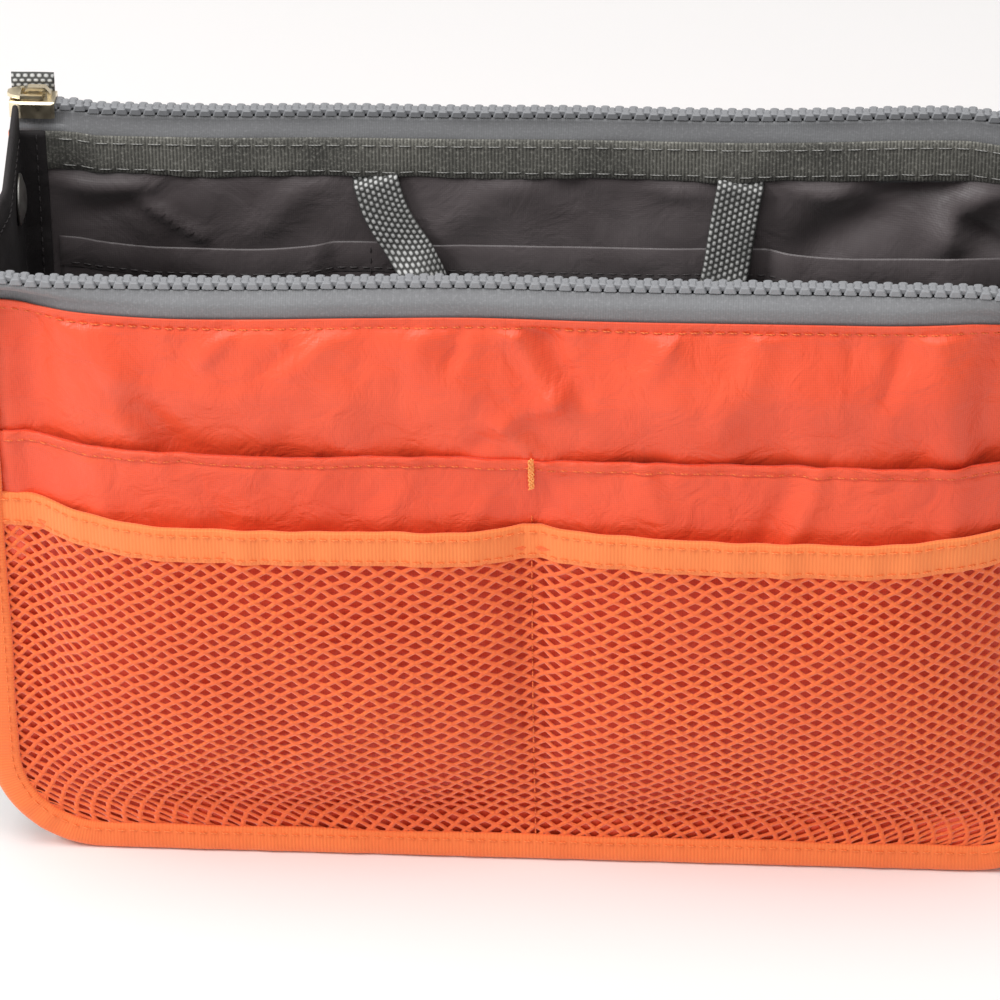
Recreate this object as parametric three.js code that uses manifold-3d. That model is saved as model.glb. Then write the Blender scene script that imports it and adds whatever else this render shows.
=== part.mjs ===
// Purse organizer insert: two zipped fabric pouches that stand back to back on either side of an open
// middle compartment, joined by pleated side gussets and a pleated base. The front pouch carries a slip
// pocket and a net pocket on its outside, and each pouch has a webbing handle that hangs inside.
// Millimetres. +X runs along the zips, -Y is the front, +Z is up. The origin is the middle of the
// footprint, on the surface that the organizer stands on.
import * as THREE from "three";
import { mergeVertices } from "three/addons/utils/BufferGeometryUtils.js";
import Module from "manifold-3d";

const wasm = await Module();
wasm.setup();

// Overall sizes
const length = 280; // end to end of each pouch
const wallSpacing = 82; // between the inner faces of the two pouches, with the gussets open
const cornerRadius = 29; // bottom corners of each pouch
const panelTop = 160.5; // top edge of the outer panel and of the lining
const toothRise = 8.1; // from there up to the top of the zip's teeth
const toothTop = panelTop + toothRise;
const halfLength = length / 2;

// Layers of a pouch at its sewn edge, measured outwards from its inner face
const cloth = 0.4; // one layer of nylon
const layerGap = 0.2; // between two layers that are sewn together
const bindingWall = 0.6; // thickness of the grosgrain edge binding
const bindingWidth = 8; // how far the binding reaches over the panels
const edgeInset = 0.9; // from the outer edge of the binding to the edge of the panels in it
const liningDepth = bindingWall + 2 * layerGap;
const tapeInnerDepth = liningDepth + cloth + layerGap;
const tapeOuterDepth = tapeInnerDepth + cloth + layerGap;
const outerDepth = tapeOuterDepth + cloth + layerGap;
const slipDepth = outerDepth + cloth + layerGap;
const netEdgeDepth = slipDepth + cloth + layerGap;
const netThickness = 0.5;
const netRoom = 0.7; // free depth that the net's edge has inside the binding
const bindingRise = 0.5; // how far the edge binding passes the panels' top edge
const bindingTop = panelTop + bindingRise;

// Swell of the panels away from the sewn edge
const pouchSwell = 7.2; // how far the outer panel stands off its edge, which makes room in the pouch
const slipSwell = 5.5; // how far the slip pocket stands off the outer panel
const netSwell = 5.5; // how far the net stands off the slip pocket
const netLift = 0.9; // clear of the slip pocket's folds, inside the binding's line
const swellColumnShares = [0, 0.06, 0.2, 0.5, 0.66, 0.8, 0.914, 1];
const pouchSwellShares = [1, 1, 1, 1, 0.95, 0.6, 0, 0];
const pocketSwellShares = [0, 0.5, 0.92, 1, 0.9, 0.5, 0, 0];
const swellStart = 15; // height where the panels leave the bottom binding
const lowRow = 50;
const middleRow = 75;
const swellHeightShares = [0, 0.45, 0.85, 1];
const cornerSteps = 4;

// Slip pocket and net pocket
const slipTop = 124; // mouth of the slip pocket
const netBandTop = 106; // upper edge of the net's binding
const netBandHeight = 9.5;
const netBandWall = 0.5;
const netBandRoom = 0.4; // on each side of the net in the groove of its binding
const netSeat = 1.2; // how far the net reaches into that groove
const netBandGroove = 1.7; // depth of the groove
const netColumns = 14; // half gaps from the centre seam to the side
const netRows = 13; // half gaps up the net
const netGapShare = 0.86; // size of a gap against the cell of the net that it opens
const netBorder = 12.9; // from the pouch's outer edge to the first gaps
const netFlat = 8.4; // from the outer edge to where the net leaves the binding
const netInset = 3; // from the outer edge to the net's own edge, inside the binding

// Inner pocket on the lining
const pocketTop = 132;
const pocketFoot = 22;
const pocketSideMargin = 12; // from the end of the pouch to the pocket
const pocketHalfLength = halfLength - pocketSideMargin;
const pocketSeam = 47; // the two seams that part the pocket into three
const pocketSeamBand = 7; // flat cloth on each side of such a seam
const sidePocketSwell = 5.6;
const middlePocketSwell = 1.2;
const pocketColumnShares = [0, 0.1, 0.3, 0.7, 0.9, 1]; // across one of the three bays
const pocketColumnSwellShares = [0, 0.65, 1, 1, 0.65, 0];
const pocketRowShares = [0, 0.08, 0.25, 0.6, 1];
const pocketRowSwellShares = [0, 0.15, 0.75, 1, 1];

// Zip: a closed chain of moulded teeth on two tapes that are folded down over the top of the pouch
const zipDepth = 5; // middle of the chain, outwards from the pouch's inner face
const toothHeight = 2.4;
const toothPitch = 3.6;
const chainHalfWidth = 2.9; // to the outside of the beads
const beadHalfGap = 1.9; // from the middle of the chain to a bead
const toothReach = 1.1; // how far a tooth's nose passes the middle of the chain
const headReach = 0.5; // where a tooth is widest, past the middle
const headHalfWidth = 0.85;
const neckHalfWidth = 0.55;
const chainMargin = 3.8; // from the end of the pouch to the end of the teeth
const chainEnd = halfLength - chainMargin;
const tapeRoom = 0.3; // under the beads
const tapeSeam = 10.5; // how far the tapes are sewn down below the panels' top edge
const tapeFoot = panelTop - tapeSeam;
const tapeMargin = 2; // from the end of the pouch to the end of the tapes
const tapeEnd = halfLength - tapeMargin;
const stopLength = 2.2;
const stopOverhang = 0.5; // how far the far stop stands out round the chain
const stripRise = 1.5; // how far the grosgrain strip stands above the panels' top edge
const stripHeight = 11; // it covers the inner tape's seam
const stripTop = panelTop + stripRise;
const stripFoot = stripTop - stripHeight;
const stripThickness = 0.6;
const stripEnd = halfLength - bindingWidth - layerGap - layerGap;

// Zip slider and its pull
const sliderHalfLength = 5.8;
const sliderMargin = 2.7; // from the slider's middle to the end of the teeth, zip closed
const sliderPark = chainEnd - sliderMargin;
const sliderRoom = 0.3; // running clearance round the chain
const sliderWall = 0.9;
const sliderSkirt = 3.2; // depth of the side walls below the teeth's top
const bridgeHalfLength = 3.6;
const bridgeHalfWidth = 1;
const bridgeHeight = 3.4;
const bridgeBar = 0.9; // thickness of the arch
const bridgeChamfer = 1.4; // at the arch's outer corners
const pullAxisShift = 2.2; // from the slider's middle towards the middle of the zip
const pullBar = 0.55; // radius of the bar under the arch
const pullLength = 8.7;
const pullHalfWidth = 2.9;
const pullArm = 1.1; // width of the arms beside the arch
const pullThickness = 1;
const pullWindow = 5.2; // from the bar to the solid end of the pull
const pullTipHalfWidth = 1.9;
const endTabLength = 11.5; // the woven tab at the closed end of the zip
const endTabOuter = halfLength - layerGap;
const endTabInner = endTabOuter - endTabLength;
const endTabRise = 5.9; // above the teeth
const endTabTop = toothTop + endTabRise;
const endTabFoot = bindingTop + tapeRoom;
const endTabBend = toothTop - toothHeight - layerGap;
const endTabThickness = 0.9;
const endTabRoom = 0.8; // between the tab and the slider's side

// Handle: flat webbing whose legs hang from under the strip and turn edge-on at the bottom of the loop
const handleWidth = 12;
const handleThickness = 1.2;
const handleStandOff = 0.5; // from the inner face of the pouch
const handleHingeRoom = 0.4; // below the strip
const handleHinge = stripFoot - handleHingeRoom; // height of the line that the handle swings about
const handleRoot = 0.4; // from that line to the webbing
const handleLegX = 47;
const handleLean = 2.8; // how far the loop leans away from the pouch by the middle of its length
const handleDrop = 46;
const handleSteps = 24;
const handlePathShares = [
  [0.96, 0],
  [0.91, 0.17],
  [0.82, 0.34],
  [0.7, 0.5],
  [0.5, 0.72],
  [0.25, 0.76],
  [-0.05, 0.82],
  [-0.38, 0.89],
  [-0.68, 0.92],
  [-0.88, 0.79],
  [-0.95, 0.54],
  [-0.99, 0.26],
  [-1.03, 0],
];
const twistStartShare = 0.16;
const twistEndShare = 0.36;
const untwistStartShare = 0.62;
const untwistEndShare = 0.86;

// Gussets and base: two halves each, with a fold line between them
const hingeStandOff = 0.5; // from a pouch's inner face to the line where the gusset is sewn on
const restFold = THREE.MathUtils.degToRad(4); // each half's angle at rest, folds slightly drawn in
const gussetThickness = 0.8;
const seamRoom = 0.4; // from the sewn line to the half
const foldRoom = 1.5; // from the fold line to the half
const gussetInset = 2.6; // from the end of a pouch to the gusset's sewn line
const gussetRise = 9.5; // how far the gusset stands above the panels' top edge
const gussetTop = panelTop + gussetRise;
const gussetDip = 3; // how much lower the gusset's top edge is at its fold
const mitreStart = 1; // from the start of the round corner to the straight gusset
const mitreRun = 13; // extra that the mitre takes off at the fold
const cornerArcSteps = 5;
const seamToSeam = wallSpacing - 2 * hingeStandOff;
const halfFold = seamToSeam / 2 / Math.cos(restFold); // width of one half, seam to fold

// Press studs on the gussets
const studBelowEdge = 11.5; // below the panels' top edge
const studHeight = panelTop - studBelowEdge;
const studFromSeam = 12;
const capRadius = 6.6;
const capHeight = 2;
const capRim = 0.6;
const studFlange = 4.6;
const studFlangeHeight = 0.7;
const studPost = 1.9;
const studPostHeight = 1.7;
const socketRadius = 4.9;
const socketHeight = 1.9;
const socketBore = 2.3;
const studSeat = 0.3; // between the gusset and the metal on it
const roundSteps = 14;

// Finishes
const finishes = {
  orangeNylon: { color: 0xee6042, roughness: 0.62, metalness: 0 },
  orangeNet: { color: 0xe76434, roughness: 0.7, metalness: 0 },
  orangeGrosgrain: { color: 0xf97c40, roughness: 0.75, metalness: 0 },
  charcoalNylon: { color: 0x453f3f, roughness: 0.5, metalness: 0 },
  charcoalGrosgrain: { color: 0x5b5955, roughness: 0.8, metalness: 0 },
  greyTape: { color: 0x858587, roughness: 0.8, metalness: 0 },
  greyAcetal: { color: 0x9a9a9c, roughness: 0.45, metalness: 0 },
  greyWebbing: { color: 0x8b8b89, roughness: 0.85, metalness: 0 },
  paleGold: { color: 0xd9c08e, roughness: 0.28, metalness: 1 },
  satinNickel: { color: 0xb4b2ae, roughness: 0.35, metalness: 1 },
};

function piece(name, geometry, finish) {
  const mesh = new THREE.Mesh(geometry, new THREE.MeshStandardMaterial(finishes[finish]));
  mesh.name = name;
  return mesh;
}

// Value at x of the line through two rows of numbers.
function along(xs, values, x) {
  const last = xs.length - 1;
  if (x <= xs[0]) return values[0];
  for (let k = 1; k <= last; k++) {
    if (x <= xs[k]) {
      const share = (x - xs[k - 1]) / (xs[k] - xs[k - 1]);
      return values[k - 1] + share * (values[k] - values[k - 1]);
    }
  }
  return values[last];
}

// A closed body between two skins that are given on the same grid. Seen from the side of `near`,
// the first index runs to the right and the second one up.
function gridBody(columns, rows, near, far) {
  const position = [];
  for (const skin of [near, far]) {
    for (let j = 0; j <= rows; j++) {
      for (let i = 0; i <= columns; i++) position.push(...skin(i, j));
    }
  }
  const skinSize = (columns + 1) * (rows + 1);
  const at = (i, j) => j * (columns + 1) + i;
  const index = [];
  for (let j = 0; j < rows; j++) {
    for (let i = 0; i < columns; i++) {
      const [a, b, c, d] = [at(i, j), at(i + 1, j), at(i + 1, j + 1), at(i, j + 1)];
      index.push(a, b, c, a, c, d);
      index.push(a + skinSize, c + skinSize, b + skinSize, a + skinSize, d + skinSize, c + skinSize);
    }
  }
  const rim = [];
  for (let i = 0; i < columns; i++) rim.push(at(i, 0));
  for (let j = 0; j < rows; j++) rim.push(at(columns, j));
  for (let i = columns; i > 0; i--) rim.push(at(i, rows));
  for (let j = rows; j > 0; j--) rim.push(at(0, j));
  rim.forEach((p, k) => {
    const q = rim[(k + 1) % rim.length];
    index.push(q, p, p + skinSize, q, p + skinSize, q + skinSize);
  });
  return meshFrom(position, index);
}

// A closed body through rings of points; the section's corners run counter-clockwise seen along the path.
function ringBody(rings, section) {
  const count = rings[0].length;
  const position = rings.flat(2);
  const index = [];
  for (let r = 0; r + 1 < rings.length; r++) {
    for (let k = 0; k < count; k++) {
      const next = (k + 1) % count;
      const [a, b] = [r * count + k, r * count + next];
      index.push(a, a + count, b, b, a + count, b + count);
    }
  }
  const last = (rings.length - 1) * count;
  for (const [a, b, c] of THREE.ShapeUtils.triangulateShape(section, [])) {
    index.push(a, b, c);
    index.push(last + a, last + c, last + b);
  }
  return faceOut(meshFrom(position, index));
}

function meshFrom(position, index) {
  const geometry = new THREE.BufferGeometry();
  geometry.setAttribute("position", new THREE.Float32BufferAttribute(position, 3));
  geometry.setIndex(index);
  return geometry;
}

function signedVolume(geometry) {
  const p = geometry.getAttribute("position");
  const corner = [new THREE.Vector3(), new THREE.Vector3(), new THREE.Vector3()];
  let sum = 0;
  for (let t = 0; t < geometry.index.count; t += 3) {
    corner.forEach((v, k) => v.fromBufferAttribute(p, geometry.index.getX(t + k)));
    sum += corner[0].dot(corner[1].clone().cross(corner[2]));
  }
  return sum;
}

// Turns a closed body's faces outwards.
function faceOut(geometry) {
  if (signedVolume(geometry) >= 0) return geometry;
  const index = geometry.index;
  for (let t = 0; t < index.count; t += 3) {
    const second = index.getX(t + 1);
    index.setX(t + 1, index.getX(t + 2));
    index.setX(t + 2, second);
  }
  return geometry;
}

function solid(geometry) {
  const bare = geometry.clone();
  bare.deleteAttribute("normal");
  bare.deleteAttribute("uv");
  const merged = mergeVertices(bare);
  return new wasm.Manifold(
    new wasm.Mesh({
      numProp: 3,
      vertProperties: new Float32Array(merged.getAttribute("position").array),
      triVerts: new Uint32Array(merged.index.array),
    }),
  );
}

function fromSolid(made) {
  const mesh = made.getMesh();
  return meshFrom(Array.from(mesh.vertProperties), Array.from(mesh.triVerts));
}

// Extrudes an outline of [x, z] points along +Y, from y = 0 to `depth`.
function extrudeAlongY(points, depth, holes = []) {
  const shape = new THREE.Shape(points.map(([x, z]) => new THREE.Vector2(x, z)));
  for (const hole of holes) shape.holes.push(new THREE.Path(hole.map(([x, z]) => new THREE.Vector2(x, z))));
  const geometry = new THREE.ExtrudeGeometry(shape, { depth, bevelEnabled: false });
  geometry.rotateX(Math.PI / 2);
  return geometry.translate(0, depth, 0);
}

// Rows of a panel: round the bottom corners in even steps, then straight up.
function panelRows(inset, heights) {
  const radius = cornerRadius - inset;
  const rows = [];
  for (let k = 0; k <= cornerSteps; k++) {
    const angle = (Math.PI / 2) * (k / cornerSteps);
    const half = halfLength - cornerRadius + radius * Math.sin(angle);
    rows.push({ z: cornerRadius - radius * Math.cos(angle), half });
  }
  for (const z of heights) rows.push({ z, half: halfLength - inset });
  return rows;
}

function mirrored(shares) {
  const rest = shares.slice(1);
  return [...rest.map((s) => -s).reverse(), ...shares];
}

const panelColumns = mirrored(swellColumnShares);

function heightShare(z) {
  return along([swellStart, cornerRadius, lowRow, middleRow], swellHeightShares, z);
}

function pouchSwellAt(share, z) {
  return pouchSwell * along(swellColumnShares, pouchSwellShares, Math.abs(share)) * heightShare(z);
}

function pocketShareAt(share, z) {
  return along(swellColumnShares, pocketSwellShares, Math.abs(share)) * heightShare(z);
}

// Depths are measured outwards from the pouch's inner face, at a share of the panel's half length.
const depthOf = {
  outer: (share, z) => outerDepth + pouchSwellAt(share, z),
  slip: (share, z) => slipDepth + pouchSwellAt(share, z) + slipSwell * pocketShareAt(share, z),
  net: (share, z) => netEdgeDepth + pouchSwellAt(share, z) + (slipSwell + netSwell) * pocketShareAt(share, z),
};

function panel(depthAt, inset, heights, thickness) {
  const rows = panelRows(inset, heights);
  const skin = (extra) => (i, j) => {
    const share = panelColumns[i];
    return [share * rows[j].half, -(depthAt(share, rows[j].z) + extra), rows[j].z];
  };
  return gridBody(panelColumns.length - 1, rows.length - 1, skin(thickness), skin(0));
}

// Half length of the round bottomed outline at a height, at an inset from its edge.
function roundHalf(z, inset) {
  const radius = cornerRadius - inset;
  if (z >= cornerRadius) return halfLength - inset;
  return halfLength - cornerRadius + Math.sqrt(Math.max(0, radius ** 2 - (cornerRadius - z) ** 2));
}

// The point of the outline at an inset that lies straight outwards from a point of the pouch's edge zone.
function movedOut([x, z], inset) {
  const centre = halfLength - cornerRadius;
  if (Math.abs(x) <= centre) return [x, inset];
  if (z >= cornerRadius) return [Math.sign(x) * (halfLength - inset), z];
  const [dx, dz] = [Math.abs(x) - centre, z - cornerRadius];
  const scale = (cornerRadius - inset) / Math.hypot(dx, dz);
  return [Math.sign(x) * (centre + dx * scale), cornerRadius + dz * scale];
}

const netTop = netBandTop - netBandHeight + netSeat;

function netPoint(k, m) {
  const z = netBorder + ((netTop - netBorder) * m) / netRows;
  return [(k / netColumns) * roundHalf(z, netBorder), z];
}

function netDepthAt([x, z]) {
  const lifted = z > netBorder - layerGap && Math.abs(x) < roundHalf(z, netBorder) + layerGap;
  return depthOf.net(x / (halfLength - edgeInset), z) + (lifted ? netLift : 0);
}

// The net: a lattice of pointed cells, staggered from row to row, each opened by a pointed gap. Whole cells
// are open, the cut ones along the edges stay closed, and a plain margin runs from there into the binding.
function netSheet() {
  const points = [];
  const known = new Map();
  const vertex = (point) => {
    points.push(point);
    return points.length - 1;
  };
  const node = (k, m) => {
    const key = k + "," + m;
    if (!known.has(key)) known.set(key, vertex(netPoint(k, m)));
    return known.get(key);
  };
  const triangles = [];
  const face = (a, b, c) => {
    const [p, q, r] = [points[a], points[b], points[c]];
    const area = (q[0] - p[0]) * (r[1] - p[1]) - (q[1] - p[1]) * (r[0] - p[0]);
    triangles.push(area > 0 ? [a, b, c] : [a, c, b]);
  };
  const isInside = ([k, m]) => Math.abs(k) <= netColumns && m >= 0 && m <= netRows;
  for (let m = 0; m <= netRows; m++) {
    for (let k = -netColumns; k <= netColumns; k++) {
      if ((k + m) % 2 !== 0) continue;
      const corners = [
        [k + 1, m],
        [k, m + 1],
        [k - 1, m],
        [k, m - 1],
      ].filter(isInside);
      const outer = corners.map(([ck, cm]) => node(ck, cm));
      if (corners.length === 4) {
        const meanOf = (axis) => outer.reduce((sum, v) => sum + points[v][axis], 0) / outer.length;
        const centre = [meanOf(0), meanOf(1)];
        const towards = (v) => centre.map((c, axis) => c + (points[v][axis] - c) * netGapShare);
        const inner = outer.map((v) => vertex(towards(v)));
        for (let q = 0; q < 4; q++) {
          const next = (q + 1) % 4;
          face(outer[q], outer[next], inner[next]);
          face(outer[q], inner[next], inner[q]);
        }
      } else {
        if (corners.length === 2) outer.push(node(k, m));
        face(...outer);
      }
    }
  }
  const border = [];
  for (let m = netRows; m > 0; m--) border.push([netColumns, m]);
  for (let k = netColumns; k > -netColumns; k--) border.push([k, 0]);
  for (let m = 0; m <= netRows; m++) border.push([-netColumns, m]);
  const sewn = border.filter(([k, m]) => known.has(k + "," + m)).map(([k, m]) => node(k, m));
  const flat = sewn.map((v) => vertex(movedOut(points[v], netFlat)));
  const edge = sewn.map((v) => vertex(movedOut(points[v], netInset)));
  for (let q = 0; q + 1 < sewn.length; q++) {
    for (const [near, far] of [
      [sewn, flat],
      [flat, edge],
    ]) {
      face(near[q], near[q + 1], far[q + 1]);
      face(near[q], far[q + 1], far[q]);
    }
  }
  return plate(points, triangles, netDepthAt, netThickness);
}

// A closed sheet on a flat triangulation that is seen from -Y, with a wall along each free edge.
function plate(points, triangles, depthAt, thickness) {
  const position = [];
  for (const extra of [thickness, 0]) {
    for (const point of points) position.push(point[0], -(depthAt(point) + extra), point[1]);
  }
  const size = points.length;
  const index = [];
  const edges = new Set();
  for (const [a, b, c] of triangles) {
    index.push(a, b, c, a + size, c + size, b + size);
    for (const [p, q] of [
      [a, b],
      [b, c],
      [c, a],
    ]) edges.add(p + "," + q);
  }
  for (const edge of edges) {
    const [p, q] = edge.split(",").map(Number);
    if (!edges.has(q + "," + p)) index.push(q, p, p + size, q, p + size, q + size);
  }
  return meshFrom(position, index);
}

// The net's upper binding: a folded tape with a groove in its lower edge for the net.
function netBand() {
  const foot = netBandTop - netBandHeight;
  const back = netThickness + 2 * netBandRoom;
  const section = [
    [0, foot],
    [netBandWall, foot],
    [netBandWall, foot + netBandGroove],
    [netBandWall + back, foot + netBandGroove],
    [netBandWall + back, foot],
    [2 * netBandWall + back, foot],
    [2 * netBandWall + back, netBandTop],
    [0, netBandTop],
  ];
  const columns = [-netColumns];
  for (let k = 1 - netColumns; k < netColumns; k++) {
    if ((k + netRows) % 2 !== 0) columns.push(k);
  }
  columns.push(netColumns);
  const rings = columns.map((k) => {
    const point = netPoint(k, netRows);
    const first = netDepthAt(point) - netBandWall - netBandRoom;
    return section.map(([d, z]) => [point[0], -(first + d), z]);
  });
  return ringBody(rings, section.map(([d, z]) => new THREE.Vector2(d, z)));
}

// Stations along the pouch's edge, from the top right round the bottom to the top left, each with the
// direction that points into the panel.
function edgeStations(top, steps) {
  const right = [{ x: halfLength, z: top, inX: -1, inZ: 0 }];
  for (let k = 0; k <= steps; k++) {
    const angle = (Math.PI / 2) * (k / steps);
    const [dx, dz] = [Math.cos(angle), -Math.sin(angle)];
    right.push({
      x: halfLength - cornerRadius + cornerRadius * dx,
      z: cornerRadius + cornerRadius * dz,
      inX: -dx,
      inZ: -dz,
    });
  }
  const left = right.map((s) => ({ x: -s.x, z: s.z, inX: -s.inX, inZ: s.inZ })).reverse();
  return [...right, ...left];
}

// The edge binding: tape folded round the stacked edges of the panels.
function edgeBinding(channelDepth) {
  const outside = channelDepth + bindingWall;
  const section = [
    [0, 0],
    [bindingWidth, 0],
    [bindingWidth, bindingWall],
    [bindingWall, bindingWall],
    [bindingWall, channelDepth],
    [bindingWidth, channelDepth],
    [bindingWidth, outside],
    [0, outside],
  ];
  const outline = section.map(([inwards, d]) => new THREE.Vector2(inwards, d));
  const rings = edgeStations(bindingTop, cornerSteps).map((s) =>
    section.map(([inwards, d]) => [s.x + s.inX * inwards, -d, s.z + s.inZ * inwards]),
  );
  return ringBody(rings, outline);
}

// The inner pocket: one strip of lining cloth with four seams, which stands off the lining between them.
function innerPocket() {
  const bays = [
    { from: -pocketHalfLength, to: -pocketSeam - pocketSeamBand, swell: sidePocketSwell },
    { from: pocketSeamBand - pocketSeam, to: pocketSeam - pocketSeamBand, swell: middlePocketSwell },
    { from: pocketSeam + pocketSeamBand, to: pocketHalfLength, swell: sidePocketSwell },
  ];
  const columns = [];
  bays.forEach((bay) => {
    pocketColumnShares.forEach((share, k) => {
      const swell = bay.swell * pocketColumnSwellShares[k];
      columns.push({ x: bay.from + share * (bay.to - bay.from), swell });
    });
  });
  const foot = liningDepth - layerGap;
  const skin = (extra) => (i, j) => {
    const z = pocketFoot + pocketRowShares[j] * (pocketTop - pocketFoot);
    const swell = columns[i].swell * pocketRowSwellShares[j];
    return [columns[i].x, -(foot - swell - extra), z];
  };
  return gridBody(columns.length - 1, pocketRowShares.length - 1, skin(0), skin(cloth));
}

// One row of moulded teeth with the bead that carries them, `side` 1 on the outer tape and -1 on the inner.
// Each tooth widens to a head and ends in a blunt point, and the heads of one row lock behind the other's.
function toothRow(side) {
  const count = Math.floor((2 * chainEnd) / toothPitch);
  const first = (-(count - 1) * toothPitch) / 2 + (side * toothPitch) / 4;
  const toothOutline = [
    [-neckHalfWidth, beadHalfGap],
    [-headHalfWidth, -headReach],
    [0, -toothReach],
    [headHalfWidth, -headReach],
    [neckHalfWidth, beadHalfGap],
  ];
  const outline = [];
  for (let k = 0; k < count; k++) {
    for (const [x, away] of toothOutline) outline.push([first + k * toothPitch + x, side * away]);
  }
  outline.push([chainEnd, side * beadHalfGap], [chainEnd, side * chainHalfWidth]);
  outline.push([-chainEnd, side * chainHalfWidth], [-chainEnd, side * beadHalfGap]);
  const shape = new THREE.Shape(outline.map(([x, away]) => new THREE.Vector2(x, -away)));
  const row = new THREE.ExtrudeGeometry(shape, { depth: toothHeight, bevelEnabled: false });
  return row.translate(0, -zipDepth, toothTop - toothHeight);
}

// A zip tape: from under its bead, down into the seam between two layers of the pouch.
function zipTape(side) {
  const beadMiddle = zipDepth + side * (chainHalfWidth - cloth);
  const top = toothTop - toothHeight - tapeRoom;
  const heights = [tapeFoot, panelTop, (panelTop + top) / 2, top];
  const columns = side > 0 ? panelColumns : [-1, 0, 1];
  const sewn = (share) => (side > 0 ? depthOf.outer(share, panelTop) - layerGap - cloth : tapeInnerDepth);
  const skin = (extra) => (i, j) => {
    const share = columns[i];
    const depth = along([panelTop, top], [sewn(share), beadMiddle - cloth / 2], heights[j]);
    return [share * tapeEnd, -(depth + extra), heights[j]];
  };
  return gridBody(columns.length - 1, heights.length - 1, skin(cloth), skin(0));
}

// The woven tab at the closed end: the tape's end, folded up beside the slider.
function endTab() {
  const beside = zipDepth + chainHalfWidth + sliderRoom + sliderWall + endTabRoom;
  const tapeTop = toothTop - toothHeight - tapeRoom;
  const heights = [endTabFoot, (endTabFoot + endTabBend) / 2, endTabBend, endTabTop];
  const xs = [endTabInner, (endTabInner + endTabOuter) / 2, endTabOuter];
  const skin = (extra) => (i, j) => {
    const share = xs[i] / tapeEnd;
    const sewn = depthOf.outer(Math.min(share, 1), panelTop) - layerGap - cloth;
    const tape = along([panelTop, tapeTop], [sewn, zipDepth + chainHalfWidth - cloth], heights[j]);
    const lowest = tape + cloth + layerGap;
    const depth = along([endTabFoot, endTabBend], [lowest, beside], heights[j]);
    return [xs[i], -(depth + extra), heights[j]];
  };
  return gridBody(xs.length - 1, heights.length - 1, skin(endTabThickness), skin(0));
}

// A moulded stop across the chain, from x = `from` outwards.
function zipStop(from, overhang) {
  const block = new THREE.BoxGeometry(stopLength, 2 * (chainHalfWidth + overhang), toothHeight + overhang);
  return block.translate(from + stopLength / 2, -zipDepth, toothTop + (overhang - toothHeight) / 2);
}

// The slider: a roof and two skirts over the chain, narrowed to the nose, with an arch for the pull.
function zipSlider() {
  const inner = chainHalfWidth + sliderRoom;
  const outer = inner + sliderWall;
  const roof = toothTop + sliderRoom;
  const foot = toothTop - sliderSkirt;
  const channel = new THREE.Shape([
    new THREE.Vector2(-outer, foot),
    new THREE.Vector2(-inner, foot),
    new THREE.Vector2(-inner, roof),
    new THREE.Vector2(inner, roof),
    new THREE.Vector2(inner, foot),
    new THREE.Vector2(outer, foot),
    new THREE.Vector2(outer, roof + sliderWall / 2),
    new THREE.Vector2(outer - sliderWall, roof + sliderWall),
    new THREE.Vector2(sliderWall - outer, roof + sliderWall),
    new THREE.Vector2(-outer, roof + sliderWall / 2),
  ]);
  const body = new THREE.ExtrudeGeometry(channel, { depth: 2 * sliderHalfLength, bevelEnabled: false });
  body.rotateX(Math.PI / 2).rotateZ(Math.PI / 2).translate(-sliderHalfLength, 0, 0);
  const plan = new THREE.Shape([
    new THREE.Vector2(-sliderHalfLength, -outer + sliderWall / 2),
    new THREE.Vector2(-sliderHalfLength + sliderWall, -outer),
    new THREE.Vector2(sliderHalfLength / 2, -outer),
    new THREE.Vector2(sliderHalfLength, -inner - sliderRoom),
    new THREE.Vector2(sliderHalfLength, inner + sliderRoom),
    new THREE.Vector2(sliderHalfLength / 2, outer),
    new THREE.Vector2(-sliderHalfLength + sliderWall, outer),
    new THREE.Vector2(-sliderHalfLength, outer - sliderWall / 2),
  ]);
  const block = new THREE.ExtrudeGeometry(plan, { depth: sliderSkirt + 2 * sliderWall, bevelEnabled: false });
  block.translate(0, 0, foot);
  const seat = roof + sliderWall / 2;
  const crown = seat + bridgeHeight;
  const arch = extrudeAlongY(
    [
      [-bridgeHalfLength, seat],
      [bridgeBar - bridgeHalfLength, seat],
      [bridgeBar - bridgeHalfLength, crown - 2 * bridgeBar],
      [2 * bridgeBar - bridgeHalfLength, crown - bridgeBar],
      [bridgeHalfLength - 2 * bridgeBar, crown - bridgeBar],
      [bridgeHalfLength - bridgeBar, crown - 2 * bridgeBar],
      [bridgeHalfLength - bridgeBar, seat],
      [bridgeHalfLength, seat],
      [bridgeHalfLength, crown - 2 * bridgeBar],
      [bridgeHalfLength - bridgeChamfer, crown],
      [bridgeChamfer - bridgeHalfLength, crown],
      [-bridgeHalfLength, crown - 2 * bridgeBar],
    ],
    2 * bridgeHalfWidth,
  ).translate(-pullAxisShift / 2, -bridgeHalfWidth, 0);
  return fromSolid(solid(body).intersect(solid(block)).add(solid(arch)));
}

const pullAxisHeight = toothTop + sliderRoom + sliderWall + 2 * layerGap + pullBar;

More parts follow.
